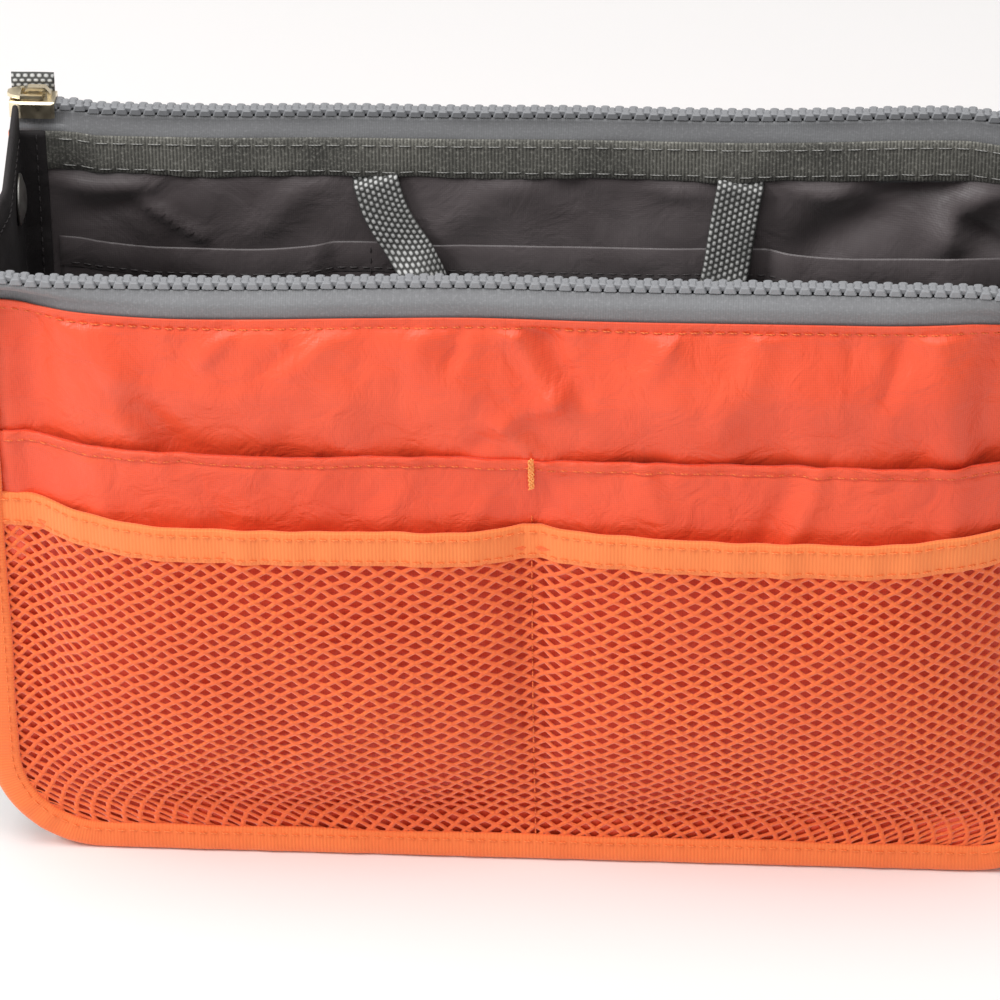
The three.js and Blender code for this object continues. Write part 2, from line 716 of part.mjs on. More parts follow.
// The pull: a tapered loop whose bar lies under the slider's arch. It points to -X from the bar at x = 0.
function zipPull() {
  const outline = [
    [pullBar, -pullHalfWidth],
    [pullBar, pullHalfWidth],
    [-pullWindow, pullHalfWidth],
    [pullTipHalfWidth / 2 - pullLength, pullTipHalfWidth],
    [-pullLength, pullTipHalfWidth / 2],
    [-pullLength, -pullTipHalfWidth / 2],
    [pullTipHalfWidth / 2 - pullLength, -pullTipHalfWidth],
    [-pullWindow, -pullHalfWidth],
  ];
  const window = [
    [-pullBar, pullArm - pullHalfWidth],
    [-pullWindow, pullArm - pullHalfWidth],
    [-pullWindow, pullHalfWidth - pullArm],
    [-pullBar, pullHalfWidth - pullArm],
  ];
  const shape = new THREE.Shape(outline.map(([x, y]) => new THREE.Vector2(x, y)));
  shape.holes.push(new THREE.Path(window.map(([x, y]) => new THREE.Vector2(x, y))));
  const plate = new THREE.ExtrudeGeometry(shape, { depth: pullThickness, bevelEnabled: false });
  return plate.translate(0, 0, -pullThickness / 2);
}

// The handle: webbing carried along a hanging loop, flat at its roots and edge-on at the bottom.
function handleStrap() {
  const depth = handleStandOff + handleThickness / 2;
  const twist = (t) =>
    THREE.MathUtils.smoothstep(t, twistStartShare, twistEndShare) *
    (1 - THREE.MathUtils.smoothstep(t, untwistStartShare, untwistEndShare));
  const rootHeight = handleHinge - handleRoot;
  const route = new THREE.CatmullRomCurve3(
    handlePathShares.map(([x, down]) => new THREE.Vector3(x * handleLegX, 0, rootHeight - down * handleDrop)),
  );
  const rings = [];
  for (let k = 0; k <= handleSteps; k++) {
    const t = k / handleSteps;
    const point = route.getPoint(t);
    const run = route.getTangent(t);
    const turn = (Math.PI / 2) * twist(t);
    const across = new THREE.Vector3(-run.z * Math.cos(turn), Math.sin(turn), run.x * Math.cos(turn));
    const through = new THREE.Vector3().crossVectors(run, across).normalize();
    const inwards = depth + handleLean * Math.sin(Math.PI * t) + (handleWidth / 2) * Math.sin(turn);
    const corner = (a, b) => {
      const p = point.clone();
      p.addScaledVector(across, (a * handleWidth) / 2).addScaledVector(through, (b * handleThickness) / 2);
      const z = k === 0 || k === handleSteps ? rootHeight : p.z;
      return [p.x, p.y + inwards, z];
    };
    rings.push([corner(1, 1), corner(-1, 1), corner(-1, -1), corner(1, -1)]);
  }
  const square = [
    [1, 1],
    [-1, 1],
    [-1, -1],
    [1, -1],
  ];
  return ringBody(rings, square.map(([a, b]) => new THREE.Vector2(a, b)));
}

// The strip that covers the inner tape's seam.
function coverStrip() {
  const strip = new THREE.BoxGeometry(2 * stripEnd, stripThickness, stripTop - stripFoot);
  const depth = liningDepth - layerGap - stripThickness / 2;
  return strip.translate(0, -depth, (stripTop + stripFoot) / 2);
}

// One pouch in its own frame: its inner face on y = 0, its outside towards -Y.
function buildPouch(name, hasNet) {
  const pouch = new THREE.Group();
  const channel = (hasNet ? netEdgeDepth + netThickness + netRoom : slipDepth + cloth + layerGap);
  const straightRows = [lowRow, middleRow, netBandTop - netBandHeight, slipTop];
  const fullRows = [...straightRows, stripFoot, panelTop];
  pouch.add(piece(name + "_lining", panel(() => liningDepth, edgeInset, [panelTop], cloth), "charcoalNylon"));
  pouch.add(piece(name + "_inner_pocket", innerPocket(), "charcoalNylon"));
  pouch.add(piece(name + "_outer_panel", panel(depthOf.outer, edgeInset, fullRows, cloth), "orangeNylon"));
  pouch.add(piece(name + "_slip_pocket", panel(depthOf.slip, edgeInset, straightRows, cloth), "orangeNylon"));
  if (hasNet) {
    pouch.add(piece(name + "_net_pocket", netSheet(), "orangeNet"));
    pouch.add(piece(name + "_net_pocket_binding", netBand(), "orangeGrosgrain"));
  }
  pouch.add(piece(name + "_edge_binding", edgeBinding(channel), "orangeGrosgrain"));
  pouch.add(piece(name + "_zip_outer_tape", zipTape(1), "greyTape"));
  pouch.add(piece(name + "_zip_inner_tape", zipTape(-1), "greyTape"));
  pouch.add(piece(name + "_zip_outer_teeth", toothRow(1), "greyAcetal"));
  pouch.add(piece(name + "_zip_inner_teeth", toothRow(-1), "greyAcetal"));
  pouch.add(piece(name + "_zip_top_stop", zipStop(chainEnd + layerGap, 0), "greyAcetal"));
  const farStop = zipStop(-chainEnd - layerGap - stopLength, stopOverhang);
  pouch.add(piece(name + "_zip_bottom_stop", farStop, "greyAcetal"));
  pouch.add(piece(name + "_zip_end_tab", endTab(), "greyWebbing"));
  pouch.add(piece(name + "_cover_strip", coverStrip(), "charcoalGrosgrain"));
  pouch.add(piece(name + "_handle", handleStrap(), "greyWebbing"));

  const slider = new THREE.Group();
  slider.position.set(sliderPark, -zipDepth, 0);
  slider.add(piece(name + "_zip_slider", zipSlider(), "paleGold"));
  const pull = piece(name + "_zip_pull", zipPull(), "paleGold");
  pull.position.set(-pullAxisShift, 0, pullAxisHeight);
  pull.rotation.z = Math.PI;
  slider.add(pull);
  pouch.add(slider);
  return pouch;
}

const seamX = halfLength - gussetInset; // sewn lines of the side gussets
const seamRadius = cornerRadius - gussetInset;
const baseSeamZ = gussetInset; // sewn lines of the base

// One half of a side gusset in its own frame: the sewn line is the Z axis and the half runs along +Y.
// Its inner face looks to `inside` (+1 or -1) along X.
function gussetHalf() {
  const [near, far] = [seamRoom, halfFold - foldRoom];
  const footAt = (s) => cornerRadius + mitreStart + (mitreRun * s) / halfFold;
  const shape = new THREE.Shape([
    new THREE.Vector2(near, footAt(near)),
    new THREE.Vector2(far, footAt(far)),
    new THREE.Vector2(far, gussetTop - gussetDip),
    new THREE.Vector2(near, gussetTop),
  ]);
  const sheet = new THREE.ExtrudeGeometry(shape, { depth: gussetThickness, bevelEnabled: false });
  sheet.translate(0, 0, -gussetThickness / 2);
  return sheet.rotateX(Math.PI / 2).rotateZ(Math.PI / 2);
}

// One half of the base in its own frame: the sewn line is the X axis and the half runs along +Y.
function baseHalf() {
  const [near, far] = [seamRoom, halfFold - foldRoom];
  const endAt = (s) => halfLength - cornerRadius - mitreStart - (mitreRun * s) / halfFold;
  const shape = new THREE.Shape([
    new THREE.Vector2(-endAt(near), near),
    new THREE.Vector2(endAt(near), near),
    new THREE.Vector2(endAt(far), far),
    new THREE.Vector2(-endAt(far), far),
  ]);
  const sheet = new THREE.ExtrudeGeometry(shape, { depth: gussetThickness, bevelEnabled: false });
  return sheet.translate(0, 0, -gussetThickness / 2);
}

// The soft corner of the gusset: its shallow fold carried round the pouch's round corner, at the right end.
function gussetCorner() {
  const stations = [seamRoom, halfFold / 2, halfFold, (3 * halfFold) / 2, 2 * halfFold - seamRoom];
  const skin = (extra) => (i, j) => {
    const s = stations[j];
    const toSeam = Math.min(s, 2 * halfFold - s);
    const y = s * Math.cos(restFold) - seamToSeam / 2;
    const radius = seamRadius - toSeam * Math.sin(restFold) + extra;
    const tongue = mitreStart + (mitreRun * toSeam) / halfFold - layerGap - gussetThickness;
    const centre = [halfLength - cornerRadius, cornerRadius];
    if (i === 0) return [centre[0] + radius, y, centre[1] + tongue];
    if (i === cornerArcSteps + 2) return [centre[0] - tongue, y, centre[1] - radius];
    const angle = ((Math.PI / 2) * (i - 1)) / cornerArcSteps;
    return [centre[0] + radius * Math.cos(angle), y, centre[1] - radius * Math.sin(angle)];
  };
  const half = gussetThickness / 2;
  return faceOut(gridBody(cornerArcSteps + 2, stations.length - 1, skin(-half), skin(half)));
}

// A body of revolution whose profile of [radius, height] points is turned about +X.
function turnedAlongX(profile) {
  const points = profile.map(([radius, height]) => new THREE.Vector2(radius, height));
  const turned = new THREE.LatheGeometry(points, roundSteps);
  turned.deleteAttribute("normal");
  turned.deleteAttribute("uv");
  return mergeVertices(turned).rotateZ(-Math.PI / 2);
}

const studFoot = gussetThickness / 2 + studSeat;

// The smooth cap on a gusset's inner face.
function studCap() {
  return turnedAlongX([
    [0, studFoot],
    [capRadius, studFoot],
    [capRadius, studFoot + capRim],
    [(2 * capRadius) / 3, studFoot + capHeight - capRim / 2],
    [0, studFoot + capHeight],
  ]);
}

// The stud and the socket on the outer faces: the stud enters the socket when the gusset is folded up.
function studPin() {
  const top = studFoot + studFlangeHeight;
  return turnedAlongX([
    [0, studFoot],
    [studFlange, studFoot],
    [studFlange, top],
    [studPost, top],
    [studPost, top + studPostHeight],
    [0, top + studPostHeight],
  ]);
}

function studSocket() {
  return turnedAlongX([
    [0, studFoot],
    [socketRadius, studFoot],
    [socketRadius, studFoot + socketHeight],
    [socketBore, studFoot + socketHeight],
    [socketBore, studFoot + studFlangeHeight],
    [0, studFoot + studFlangeHeight],
  ]);
}

// A side gusset half with its press stud, hung at its sewn line. `end` is +1 at the right end of the
// organizer and -1 at the left, and `wall` is -1 at the front pouch and +1 at the rear one.
function hungGussetHalf(end, wall) {
  const name = (end > 0 ? "right" : "left") + "_gusset_" + (wall < 0 ? "front" : "rear");
  const half = new THREE.Group();
  half.add(piece(name + "_half", gussetHalf(), "charcoalNylon"));
  const inwards = -end * -wall;
  const cap = piece(name + "_stud_cap", studCap(), "satinNickel");
  const [metalName, metalBody] = wall < 0 ? ["_stud", studPin()] : ["_socket", studSocket()];
  const metal = piece(name + metalName, metalBody, "satinNickel");
  for (const [part, facing] of [
    [cap, inwards],
    [metal, -inwards],
  ]) {
    part.position.set(0, studFromSeam, studHeight);
    part.rotation.z = facing > 0 ? 0 : Math.PI;
    half.add(part);
  }
  half.position.set(end * seamX, (wall * seamToSeam) / 2, 0);
  half.rotation.z = wall < 0 ? end * restFold : Math.PI - end * restFold;
  return half;
}

function hungBaseHalf(wall) {
  const half = new THREE.Group();
  half.add(piece(wall < 0 ? "base_front_half" : "base_rear_half", baseHalf(), "charcoalNylon"));
  half.position.set(0, (wall * seamToSeam) / 2, baseSeamZ);
  half.rotation.set(restFold, 0, wall < 0 ? 0 : Math.PI, "ZXY");
  return half;
}

const organizer = new THREE.Group();
const frontPouch = buildPouch("front", true);
frontPouch.position.y = -wallSpacing / 2;
const rearPouch = buildPouch("rear", false);
rearPouch.position.y = wallSpacing / 2;
rearPouch.rotation.z = Math.PI;
organizer.add(frontPouch, rearPouch);
for (const end of [-1, 1]) {
  for (const wall of [-1, 1]) organizer.add(hungGussetHalf(end, wall));
  const corner = piece((end > 0 ? "right" : "left") + "_gusset_corner", gussetCorner(), "charcoalNylon");
  if (end < 0) corner.rotation.z = Math.PI;
  organizer.add(corner);
}
for (const wall of [-1, 1]) organizer.add(hungBaseHalf(wall));

// The front pouch reaches further out than the rear one, so the whole stands back by half the difference.
const bandReach = netThickness + netBandRoom + netBandWall;
const frontReach = depthOf.net(swellColumnShares[3], slipTop) + netLift + bandReach;
const rearReach = depthOf.slip(swellColumnShares[3], slipTop) + cloth;
organizer.position.y = (frontReach - rearReach) / 2;

const part = new THREE.Group();
part.add(organizer);
export default part;
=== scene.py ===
"""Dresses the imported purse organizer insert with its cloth, net, webbing, zips and metal fittings."""
import logging
import math
from dataclasses import dataclass, field
from enum import Enum
from typing import Callable, ClassVar

import bpy
import numpy as np
from mathutils import Matrix


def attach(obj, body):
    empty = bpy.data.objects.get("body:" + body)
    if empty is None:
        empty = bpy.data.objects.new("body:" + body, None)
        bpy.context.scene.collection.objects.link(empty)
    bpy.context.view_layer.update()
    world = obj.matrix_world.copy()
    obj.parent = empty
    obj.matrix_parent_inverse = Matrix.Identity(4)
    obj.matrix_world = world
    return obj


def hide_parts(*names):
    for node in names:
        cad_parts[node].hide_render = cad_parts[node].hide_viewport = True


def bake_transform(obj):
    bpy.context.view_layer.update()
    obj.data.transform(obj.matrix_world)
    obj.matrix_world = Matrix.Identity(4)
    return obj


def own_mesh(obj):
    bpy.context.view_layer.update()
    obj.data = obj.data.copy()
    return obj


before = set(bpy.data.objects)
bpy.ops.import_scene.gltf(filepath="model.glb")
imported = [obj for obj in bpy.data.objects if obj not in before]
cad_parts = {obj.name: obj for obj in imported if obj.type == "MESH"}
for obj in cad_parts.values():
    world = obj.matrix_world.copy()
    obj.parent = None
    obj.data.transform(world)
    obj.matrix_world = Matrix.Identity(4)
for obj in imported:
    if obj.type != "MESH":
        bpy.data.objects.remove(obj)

logging.basicConfig(level=logging.INFO, format="%(message)s")
log = logging.getLogger("organizer")

Array = np.ndarray
Shape = tuple[Array, list[Array]]  # points, and faces grouped by their number of corners
Cloth = tuple[Array, Array | list[Array], Array]  # points, faces, and each point's place on the flat cloth
Depth = Callable[[Array, Array], Array]  # the depth of a face, from x and z
Bend = tuple[str, Array, Array]  # the second body, and the two points between which cloth bends towards it
Socket = bpy.types.NodeSocket
Value = Socket | float | tuple[float, ...]
MM = 0.001  # sizes below are in millimetres, and each mesh is turned to metres when it is made


class Side(Enum):
    """The two pouches. The value is +1 at the front and -1 at the rear."""

    FRONT = 1
    REAR = -1

    @property
    def label(self) -> str:
        """Name that the pouch's bodies and nodes start with."""
        return self.name.lower()


class End(Enum):
    """The two ends of the organizer, as signs of X."""

    LEFT = -1
    RIGHT = 1

    @property
    def label(self) -> str:
        """Name that the end's bodies and nodes start with."""
        return self.name.lower()


class Slot(Enum):
    """The record's material slots."""

    NYLON = "orange_nylon"
    NET = "orange_net"
    GROSGRAIN = "orange_grosgrain"
    LINING = "charcoal_nylon"
    STRIP = "charcoal_grosgrain"
    TAPE = "grey_tape"
    WEBBING = "grey_webbing"
    ACETAL = "grey_acetal"
    GOLD = "pale_gold"
    NICKEL = "satin_nickel"


def linear(colour: str) -> tuple[float, float, float, float]:
    """Turns an sRGB hex colour into linear light.

    Args:
        colour: # and six hex digits.

    Returns:
        Red, green, blue and an alpha of 1.
    """
    shares = np.array([int(colour[k : k + 2], 16) for k in (1, 3, 5)]) / 255
    light = np.where(shares <= 0.04045, shares / 12.92, ((shares + 0.055) / 1.055) ** 2.4)
    return (*light.tolist(), 1.0)


def smooth_step(x: Array, low: float, high: float) -> Array:
    """Rises from 0 at low to 1 at high along 3t² - 2t³."""
    t = np.clip((x - low) / (high - low), 0, 1)
    return t * t * (3 - 2 * t)


def smooth_curve(x: Array, knots: list[float], values: list[float]) -> Array:
    """Reads a smooth curve through a row of knots.

    Between two knots the value follows a cubic Hermite arc. Its end slopes are the means of the
    neighbouring chords, or level where the curve turns. Past the last knots it stays level.

    Args:
        x: places to read.
        knots: rising places of the knots.
        values: the curve's values there.

    Returns:
        The curve's value at each place.
    """
    at, value = np.asarray(knots, float), np.asarray(values, float)
    chords = np.diff(value) / np.diff(at)
    slopes = np.concatenate([chords[:1], (chords[1:] + chords[:-1]) / 2, chords[-1:]])
    slopes[1:-1][chords[1:] * chords[:-1] <= 0] = 0
    x = np.clip(x, at[0], at[-1])
    k = np.clip(np.searchsorted(at, x, side="right") - 1, 0, len(chords) - 1)
    run = at[k + 1] - at[k]
    t = (x - at[k]) / run
    rise = t * t * (3 - 2 * t)
    start = t * (1 - t) ** 2 * run * slopes[k]
    finish = t * t * (t - 1) * run * slopes[k + 1]
    return value[k] + rise * (value[k + 1] - value[k]) + start + finish


def grid(u: Array, v: Array) -> tuple[Array, Array]:
    """Gives all pairs of two rows as two flat arrays, with v running fastest."""
    a, b = np.meshgrid(u, v, indexing="ij")
    return a.ravel(), b.ravel()


def grid_faces(nu: int, nv: int, round_v: bool = False, flip: bool = False) -> Array:
    """Makes the quads of a grid of nu by nv points.

    Args:
        nu: points along u, the slow direction.
        nv: points along v.
        round_v: whether the last row along v joins the first.
        flip: whether the faces look against u × v.

    Returns:
        One row of four point numbers for each quad.
    """
    i, j = grid(np.arange(nu - 1), np.arange(nv if round_v else nv - 1))
    near, far = i * nv, (i + 1) * nv
    after = (j + 1) % nv
    quads = np.stack([near + j, far + j, far + after, near + after], axis=1)
    return quads[:, ::-1] if flip else quads


def unit(vectors: Array) -> Array:
    """Scales each row to length 1."""
    return vectors / np.maximum(np.linalg.norm(vectors, axis=-1, keepdims=True), 1e-12)


def walked(path: Array) -> Array:
    """Gives the length walked along a row of points, from 0 at the first."""
    return np.concatenate([[0], np.cumsum(np.linalg.norm(np.diff(path, axis=0), axis=1))])


def make_piece(
    name: str, points: Array, faces: Array | list[Array], finish: bpy.types.Material, uv: Array | None = None,
    smooth: bool = True, attributes: dict[str, Array] | None = None,
) -> bpy.types.Object:
    """Puts points and faces into a new mesh object at the origin.

    Args:
        name: the object's name.
        points: places in millimetres, in the shared frame.
        faces: point numbers, as one array or one array for each number of corners.
        finish: the material.
        uv: a place on the flat cloth for each point, in millimetres.
        smooth: whether the faces shade smoothly.
        attributes: named values for each point.

    Returns:
        The new object.
    """
    groups = faces if isinstance(faces, list) else [faces]
    corners = np.concatenate([g.ravel() for g in groups]).astype(np.int32)
    sizes = np.concatenate([np.full(len(g), g.shape[1]) for g in groups])
    starts = np.concatenate([[0], np.cumsum(sizes)[:-1]]).astype(np.int32)
    mesh = bpy.data.meshes.new(name)
    mesh.vertices.add(len(points))
    mesh.vertices.foreach_set("co", (points * MM).astype(np.float32).ravel())
    mesh.loops.add(len(corners))
    mesh.loops.foreach_set("vertex_index", corners)
    mesh.polygons.add(len(sizes))
    mesh.polygons.foreach_set("loop_start", starts)
    mesh.polygons.foreach_set("use_smooth", np.full(len(sizes), smooth))
    if uv is not None:
        layer = mesh.uv_layers.new(name="cloth")
        layer.uv.foreach_set("vector", uv[corners].astype(np.float32).ravel())
    for key, values in (attributes or {}).items():
        mesh.attributes.new(key, "FLOAT", "POINT").data.foreach_set("value", values.astype(np.float32))
    mesh.materials.append(finish)
    mesh.update(calc_edges=True)
    mesh.validate()
    piece = bpy.data.objects.new(name, mesh)
    bpy.context.scene.collection.objects.link(piece)
    return piece


def thicken(piece: bpy.types.Object, thickness: float, offset: float = -1) -> None:
    """Gives a sheet its thickness.

    Args:
        piece: the sheet.
        thickness: in millimetres.
        offset: -1 puts it behind the faces, 0 on both sides.
    """
    wall = piece.modifiers.new("thickness", "SOLIDIFY")
    wall.thickness = thickness * MM
    wall.offset = offset
    wall.use_even_offset = False


def fasten(piece: bpy.types.Object, body: str, slot: Slot, *nodes: str, bend: Bend | None = None) -> None:
    """Attaches a piece to its body, or only bakes its transform if it crosses a joint, and hides the nodes that it
    stands for.

    Args:
        piece: the piece.
        body: body that it rides on.
        slot: not used.
        nodes: names of the nodes that it stands for.
        bend: for cloth that crosses a joint, the other body and two points at the joint; only whether it is given
            is read.
    """
    if bend is None:
        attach(piece, body)
    else:
        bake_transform(piece)
    if nodes:
        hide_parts(*nodes)
    log.info("%s: %d points on %s", piece.name, len(piece.data.vertices), body)


def repeated(shape: Shape, places: Array, frames: Array) -> Shape:
    """Copies a small shape to many places.

    Each copy's point is its place plus the shape's three coordinates along the frame's three rows.

    Args:
        shape: the shape to copy.
        places: one place for each copy.
        frames: three rows for each copy, of any length.

    Returns:
        All copies as one shape.
    """
    points, groups = shape
    moved = places[:, None, :] + np.einsum("kc,nca->nka", points, frames)
    first = (np.arange(len(places)) * len(points))[:, None, None]
    return moved.reshape(-1, 3), [(g[None] + first).reshape(-1, g.shape[1]) for g in groups]


def joined(*shapes: Shape) -> Shape:
    """Puts several shapes into one.

    Args:
        shapes: the shapes.

    Returns:
        All their points and faces.
    """
    points, groups, count = [], [], 0
    for own, faces in shapes:
        groups += [g + count for g in faces]
        points.append(own)
        count += len(own)
    return np.concatenate(points), groups


def facing_out(points: Array, groups: list[Array]) -> list[Array]:
    """Turns all faces of a closed body round if its volume comes out negative.

    The volume is a sixth of the sum, over triangles fanned from each face's first point, of a · (b × c).

    Args:
        points: the body's points.
        groups: its faces.

    Returns:
        The faces, looking outwards.
    """
    volume = 0.0
    for g in groups:
        for k in range(1, g.shape[1] - 1):
            a, b, c = points[g[:, 0]], points[g[:, k]], points[g[:, k + 1]]
            volume += (a * np.cross(b, c)).sum()
    return groups if volume > 0 else [g[:, ::-1] for g in groups]


def lofted(rings: Array) -> Shape:
    """Makes a closed body through rings of equal count.

    Args:
        rings: points, as ring by point by coordinate.

    Returns:
        The body, with its sides and its two flat ends.
    """
    n, k = rings.shape[:2]
    first = np.arange(k)[None]
    sides = grid_faces(n, k, round_v=True, flip=True)
    points = rings.reshape(-1, 3)
    return points, facing_out(points, [sides, np.concatenate([first[:, ::-1], first + (n - 1) * k])])


def swept(path: Array, across: Array, through: Array, profile: Array) -> Shape:
    """Carries a closed profile along a path and closes both ends.

    A point is the path's point plus the profile's first coordinate along `across` and its second
    along `through`. The profile runs anticlockwise with across × through along the path.

    Args:
        path: the path's points.
        across: a unit row for each path point.
        through: a unit row for each path point, at right angles to `across`.
        profile: the profile's points.

    Returns:
        The swept body.
    """
    sideways, upwards = profile[None, :, :1] * across[:, None], profile[None, :, 1:] * through[:, None]
    return lofted(path[:, None] + sideways + upwards)


def chamfered(half_x: float, half_y: float, edge: float) -> Array:
    """Gives the eight corners of a rectangle with cut corners, anticlockwise.

    Args:
        half_x: half its length.
        half_y: half its width.
        edge: length that each cut takes off both sides.

    Returns:
        One row for each corner.
    """
    x, y = half_x - edge, half_y - edge
    return np.array([[half_x, -y], [half_x, y], [x, half_y], [-x, half_y],
                     [-half_x, y], [-half_x, -y], [-x, -half_y], [x, -half_y]])


def block(size: tuple[float, float, float], edge: float, narrowing: float = 1.0) -> Shape:
    """Makes a small moulded block about the origin, with its edges cut back.

    Args:
        size: its three lengths.
        edge: width of the cut at every edge.
        narrowing: share of the foot's width that the top has along x.

    Returns:
        The block, standing along z.
    """
    half = np.array(size) / 2
    levels = [(-half[2], edge), (edge - half[2], 0), (half[2] - edge, 0), (half[2], edge)]
    rings = []
    for height, inset in levels:
        share = 1 + (narrowing - 1) * (height + half[2]) / size[2]
        ring = chamfered(half[0] * share - inset, half[1] - inset, edge)
        rings.append(np.column_stack([ring, np.full(8, height)]))
    return lofted(np.array(rings))


def turned(profile: Array, steps: int) -> Shape:
    """Turns a profile of radius and height rows about z; its first and last rows lie on the axis.

    Args:
        profile: radius and height, from the foot up.
        steps: points round the axis.

    Returns:
        The closed body.
    """
    angle = np.arange(steps) * 2 * np.pi / steps
    rings = np.stack([profile[1:-1, :1] * np.cos(angle), profile[1:-1, :1] * np.sin(angle),
                      np.repeat(profile[1:-1, 1:], steps, axis=1)], axis=-1)
    n = len(profile) - 2
    points = np.concatenate([rings.reshape(-1, 3), [[0, 0, profile[0, 1]], [0, 0, profile[-1, 1]]]])
    ring, nxt = np.arange(steps), (np.arange(steps) + 1) % steps
    foot = np.stack([nxt, ring, np.full(steps, n * steps)], axis=1)
    head = np.stack([ring + (n - 1) * steps, nxt + (n - 1) * steps, np.full(steps, n * steps + 1)], axis=1)
    return points, [grid_faces(n, steps, round_v=True, flip=True), np.concatenate([foot, head])]


@dataclass(frozen=True)
class Nodes:
    """Adds nodes to one material and feeds them into its shader."""

    tree: bpy.types.NodeTree

    def add(self, kind: str, inputs: dict[str | int, Value] | None = None, **settings: str) -> bpy.types.Node:
        """Adds a shader node with its settings, its fixed inputs and its links.

        Args:
            kind: the node's type, without its first word.
            inputs: for each input's name or number, a fixed value or the output that feeds it.
            settings: the node's own options.

        Returns:
            The new node.
        """
        node = self.tree.nodes.new(f"ShaderNode{kind}")
        for key, value in settings.items():
            setattr(node, key, value)
        for key, value in (inputs or {}).items():
            self.feed(node.inputs[key], value)
        return node

    def feed(self, entry: Socket, value: Value) -> None:
        """Links an output to an input, or sets the input's fixed value.

        Args:
            entry: the input.
            value: the output or the fixed value.
        """
        if isinstance(value, Socket):
            self.tree.links.new(value, entry)
        else:
            entry.default_value = value

    def shade(self, values: dict[str, Value]) -> None:
        """Feeds the shader's inputs by their names."""
        for name, value in values.items():
            self.feed(self.tree.nodes["Principled BSDF"].inputs[name], value)

    def place(self, kind: str) -> Socket:
        """Gives the coordinates of one kind, UV (the flat cloth, in mm) or Object (in m)."""
        return self.add("TexCoord").outputs[kind]

    def noise(self, vector: Socket, size: float, detail: float, **more: float) -> Socket:
        """Gives soft noise with lumps about `size` wide."""
        return self.add("TexNoise", {"Vector": vector, "Scale": 1 / size, "Detail": detail, **more}).outputs[0]

    def bands(
        self, vector: Socket, period: float, direction: str, more: dict[str, float] | None = None
    ) -> Socket:
        """Gives soft bands that repeat after `period`: the wave texture draws sin(20 · scale · x)."""
        inputs = {"Vector": vector, "Scale": 2 * math.pi / 20 / period, **(more or {})}
        return self.add("TexWave", inputs, bands_direction=direction).outputs["Fac"]

    def spread(self, value: Socket, low: float, high: float, first: float = 0.0, last: float = 1.0) -> Socket:
        """Runs from `first` to `last` while the value runs from `low` to `high`."""
        return self.add("MapRange", {0: value, 1: low, 2: high, 3: first, 4: last}).outputs[0]

    def reckon(self, operation: str, first: Value, second: Value = 0.5) -> Socket:
        """Does one step of arithmetic; the second value doesn't count for a function of one value."""
        return self.add("Math", {0: first, 1: second}, operation=operation).outputs[0]

    def mixed(self, share: Socket, first: Value, second: Value) -> Socket:
        """Mixes two colours: the first where the share is 0, the second where it is 1."""
        return self.add("Mix", {0: share, 6: first, 7: second}, data_type="RGBA").outputs[2]

    def scaled(self, colour: Value, factor: Socket) -> Socket:
        """Makes a colour lighter or darker by a factor."""
        return self.add("VectorMath", {0: colour, 3: factor}, operation="SCALE").outputs[0]

    def bump(self, height: Socket, depth: float, strength: float, under: Socket | None = None) -> Socket:
        """Gives a surface with relief.

        Args:
            height: the relief, from 0 to 1.
            depth: its full height in millimetres.
            strength: its share.
            under: coarser relief that this one lies on.

        Returns:
            The normal.
        """
        more = {} if under is None else {"Normal": under}
        inputs = {"Height": height, "Distance": depth * MM, "Strength": strength, **more}
        return self.add("Bump", inputs).outputs[0]


@dataclass(frozen=True)
class Finish:
    """A material of one base colour, to which each kind of finish adds its own nodes."""

    name: str
    colour: str
    roughness: float
    ior: float = 1.5
    dark: str = "#000000"

    def make(self) -> bpy.types.Material:
        """Builds the material.

        Returns:
            The new material.
        """
        material = bpy.data.materials.new(self.name)
        material.use_nodes = True
        material.diffuse_color = linear(self.colour)
        nodes = Nodes(material.node_tree)
        nodes.shade({"Base Color": linear(self.colour), "Roughness": self.roughness, "IOR": self.ior})
        self.dress(nodes)
        return material

    def dress(self, nodes: Nodes) -> None:
        """Adds the finish's own nodes."""

    def clouded(self, nodes: Nodes, vector: Socket, size: float, dark: str = "") -> Socket:
        """Mixes the base colour with a darker one in soft clouds.

        Args:
            nodes: the material's nodes.
            vector: coordinates.
            size: width of a cloud, in the coordinates' unit.
            dark: the other colour, if it isn't the finish's own dark one.

        Returns:
            The mixed colour.
        """
        share = nodes.spread(nodes.noise(vector, size, 3.0), 0.35, 0.7)
        return nodes.mixed(share, linear(self.colour), linear(dark or self.dark))


@dataclass(frozen=True)
class Taffeta(Finish):
    """Plain-woven nylon: fine crossing threads, a soft sheen, and cloth that never lies quite smooth."""

    thread: float = 0.55  # real threads are 0.25 mm apart, which would be finer than the render's pixels
    rumple: float = 9.0
    rumple_depth: float = 0.35
    sheen: float = 0.25

    def dress(self, nodes: Nodes) -> None:
        """Adds the threads with painted shade between them, the clouds of colour and the small rumples."""
        cloth = nodes.place("UV")
        weave = nodes.reckon("ADD", *(nodes.bands(cloth, self.thread, axis) for axis in "XY"))
        rumples = nodes.noise(cloth, self.rumple, 4.0, Roughness=0.55, Distortion=0.6)
        # painted shade: the colour is made up to a tenth darker where the weave's relief is low, between the
        # threads
        painted_weave_shade = nodes.spread(weave, 0.0, 2.0, 0.9, 1.05)
        low = nodes.bump(rumples, 2 * self.rumple_depth, 1.0)
        nodes.shade({"Base Color": nodes.scaled(self.clouded(nodes, cloth, 30.0), painted_weave_shade),
                     "Normal": nodes.bump(weave, 0.02, 0.6, low),
                     "Roughness": nodes.spread(rumples, 0.3, 0.7, self.roughness - 0.05, self.roughness + 0.07),
                     "Sheen Weight": self.sheen, "Sheen Roughness": 0.45})


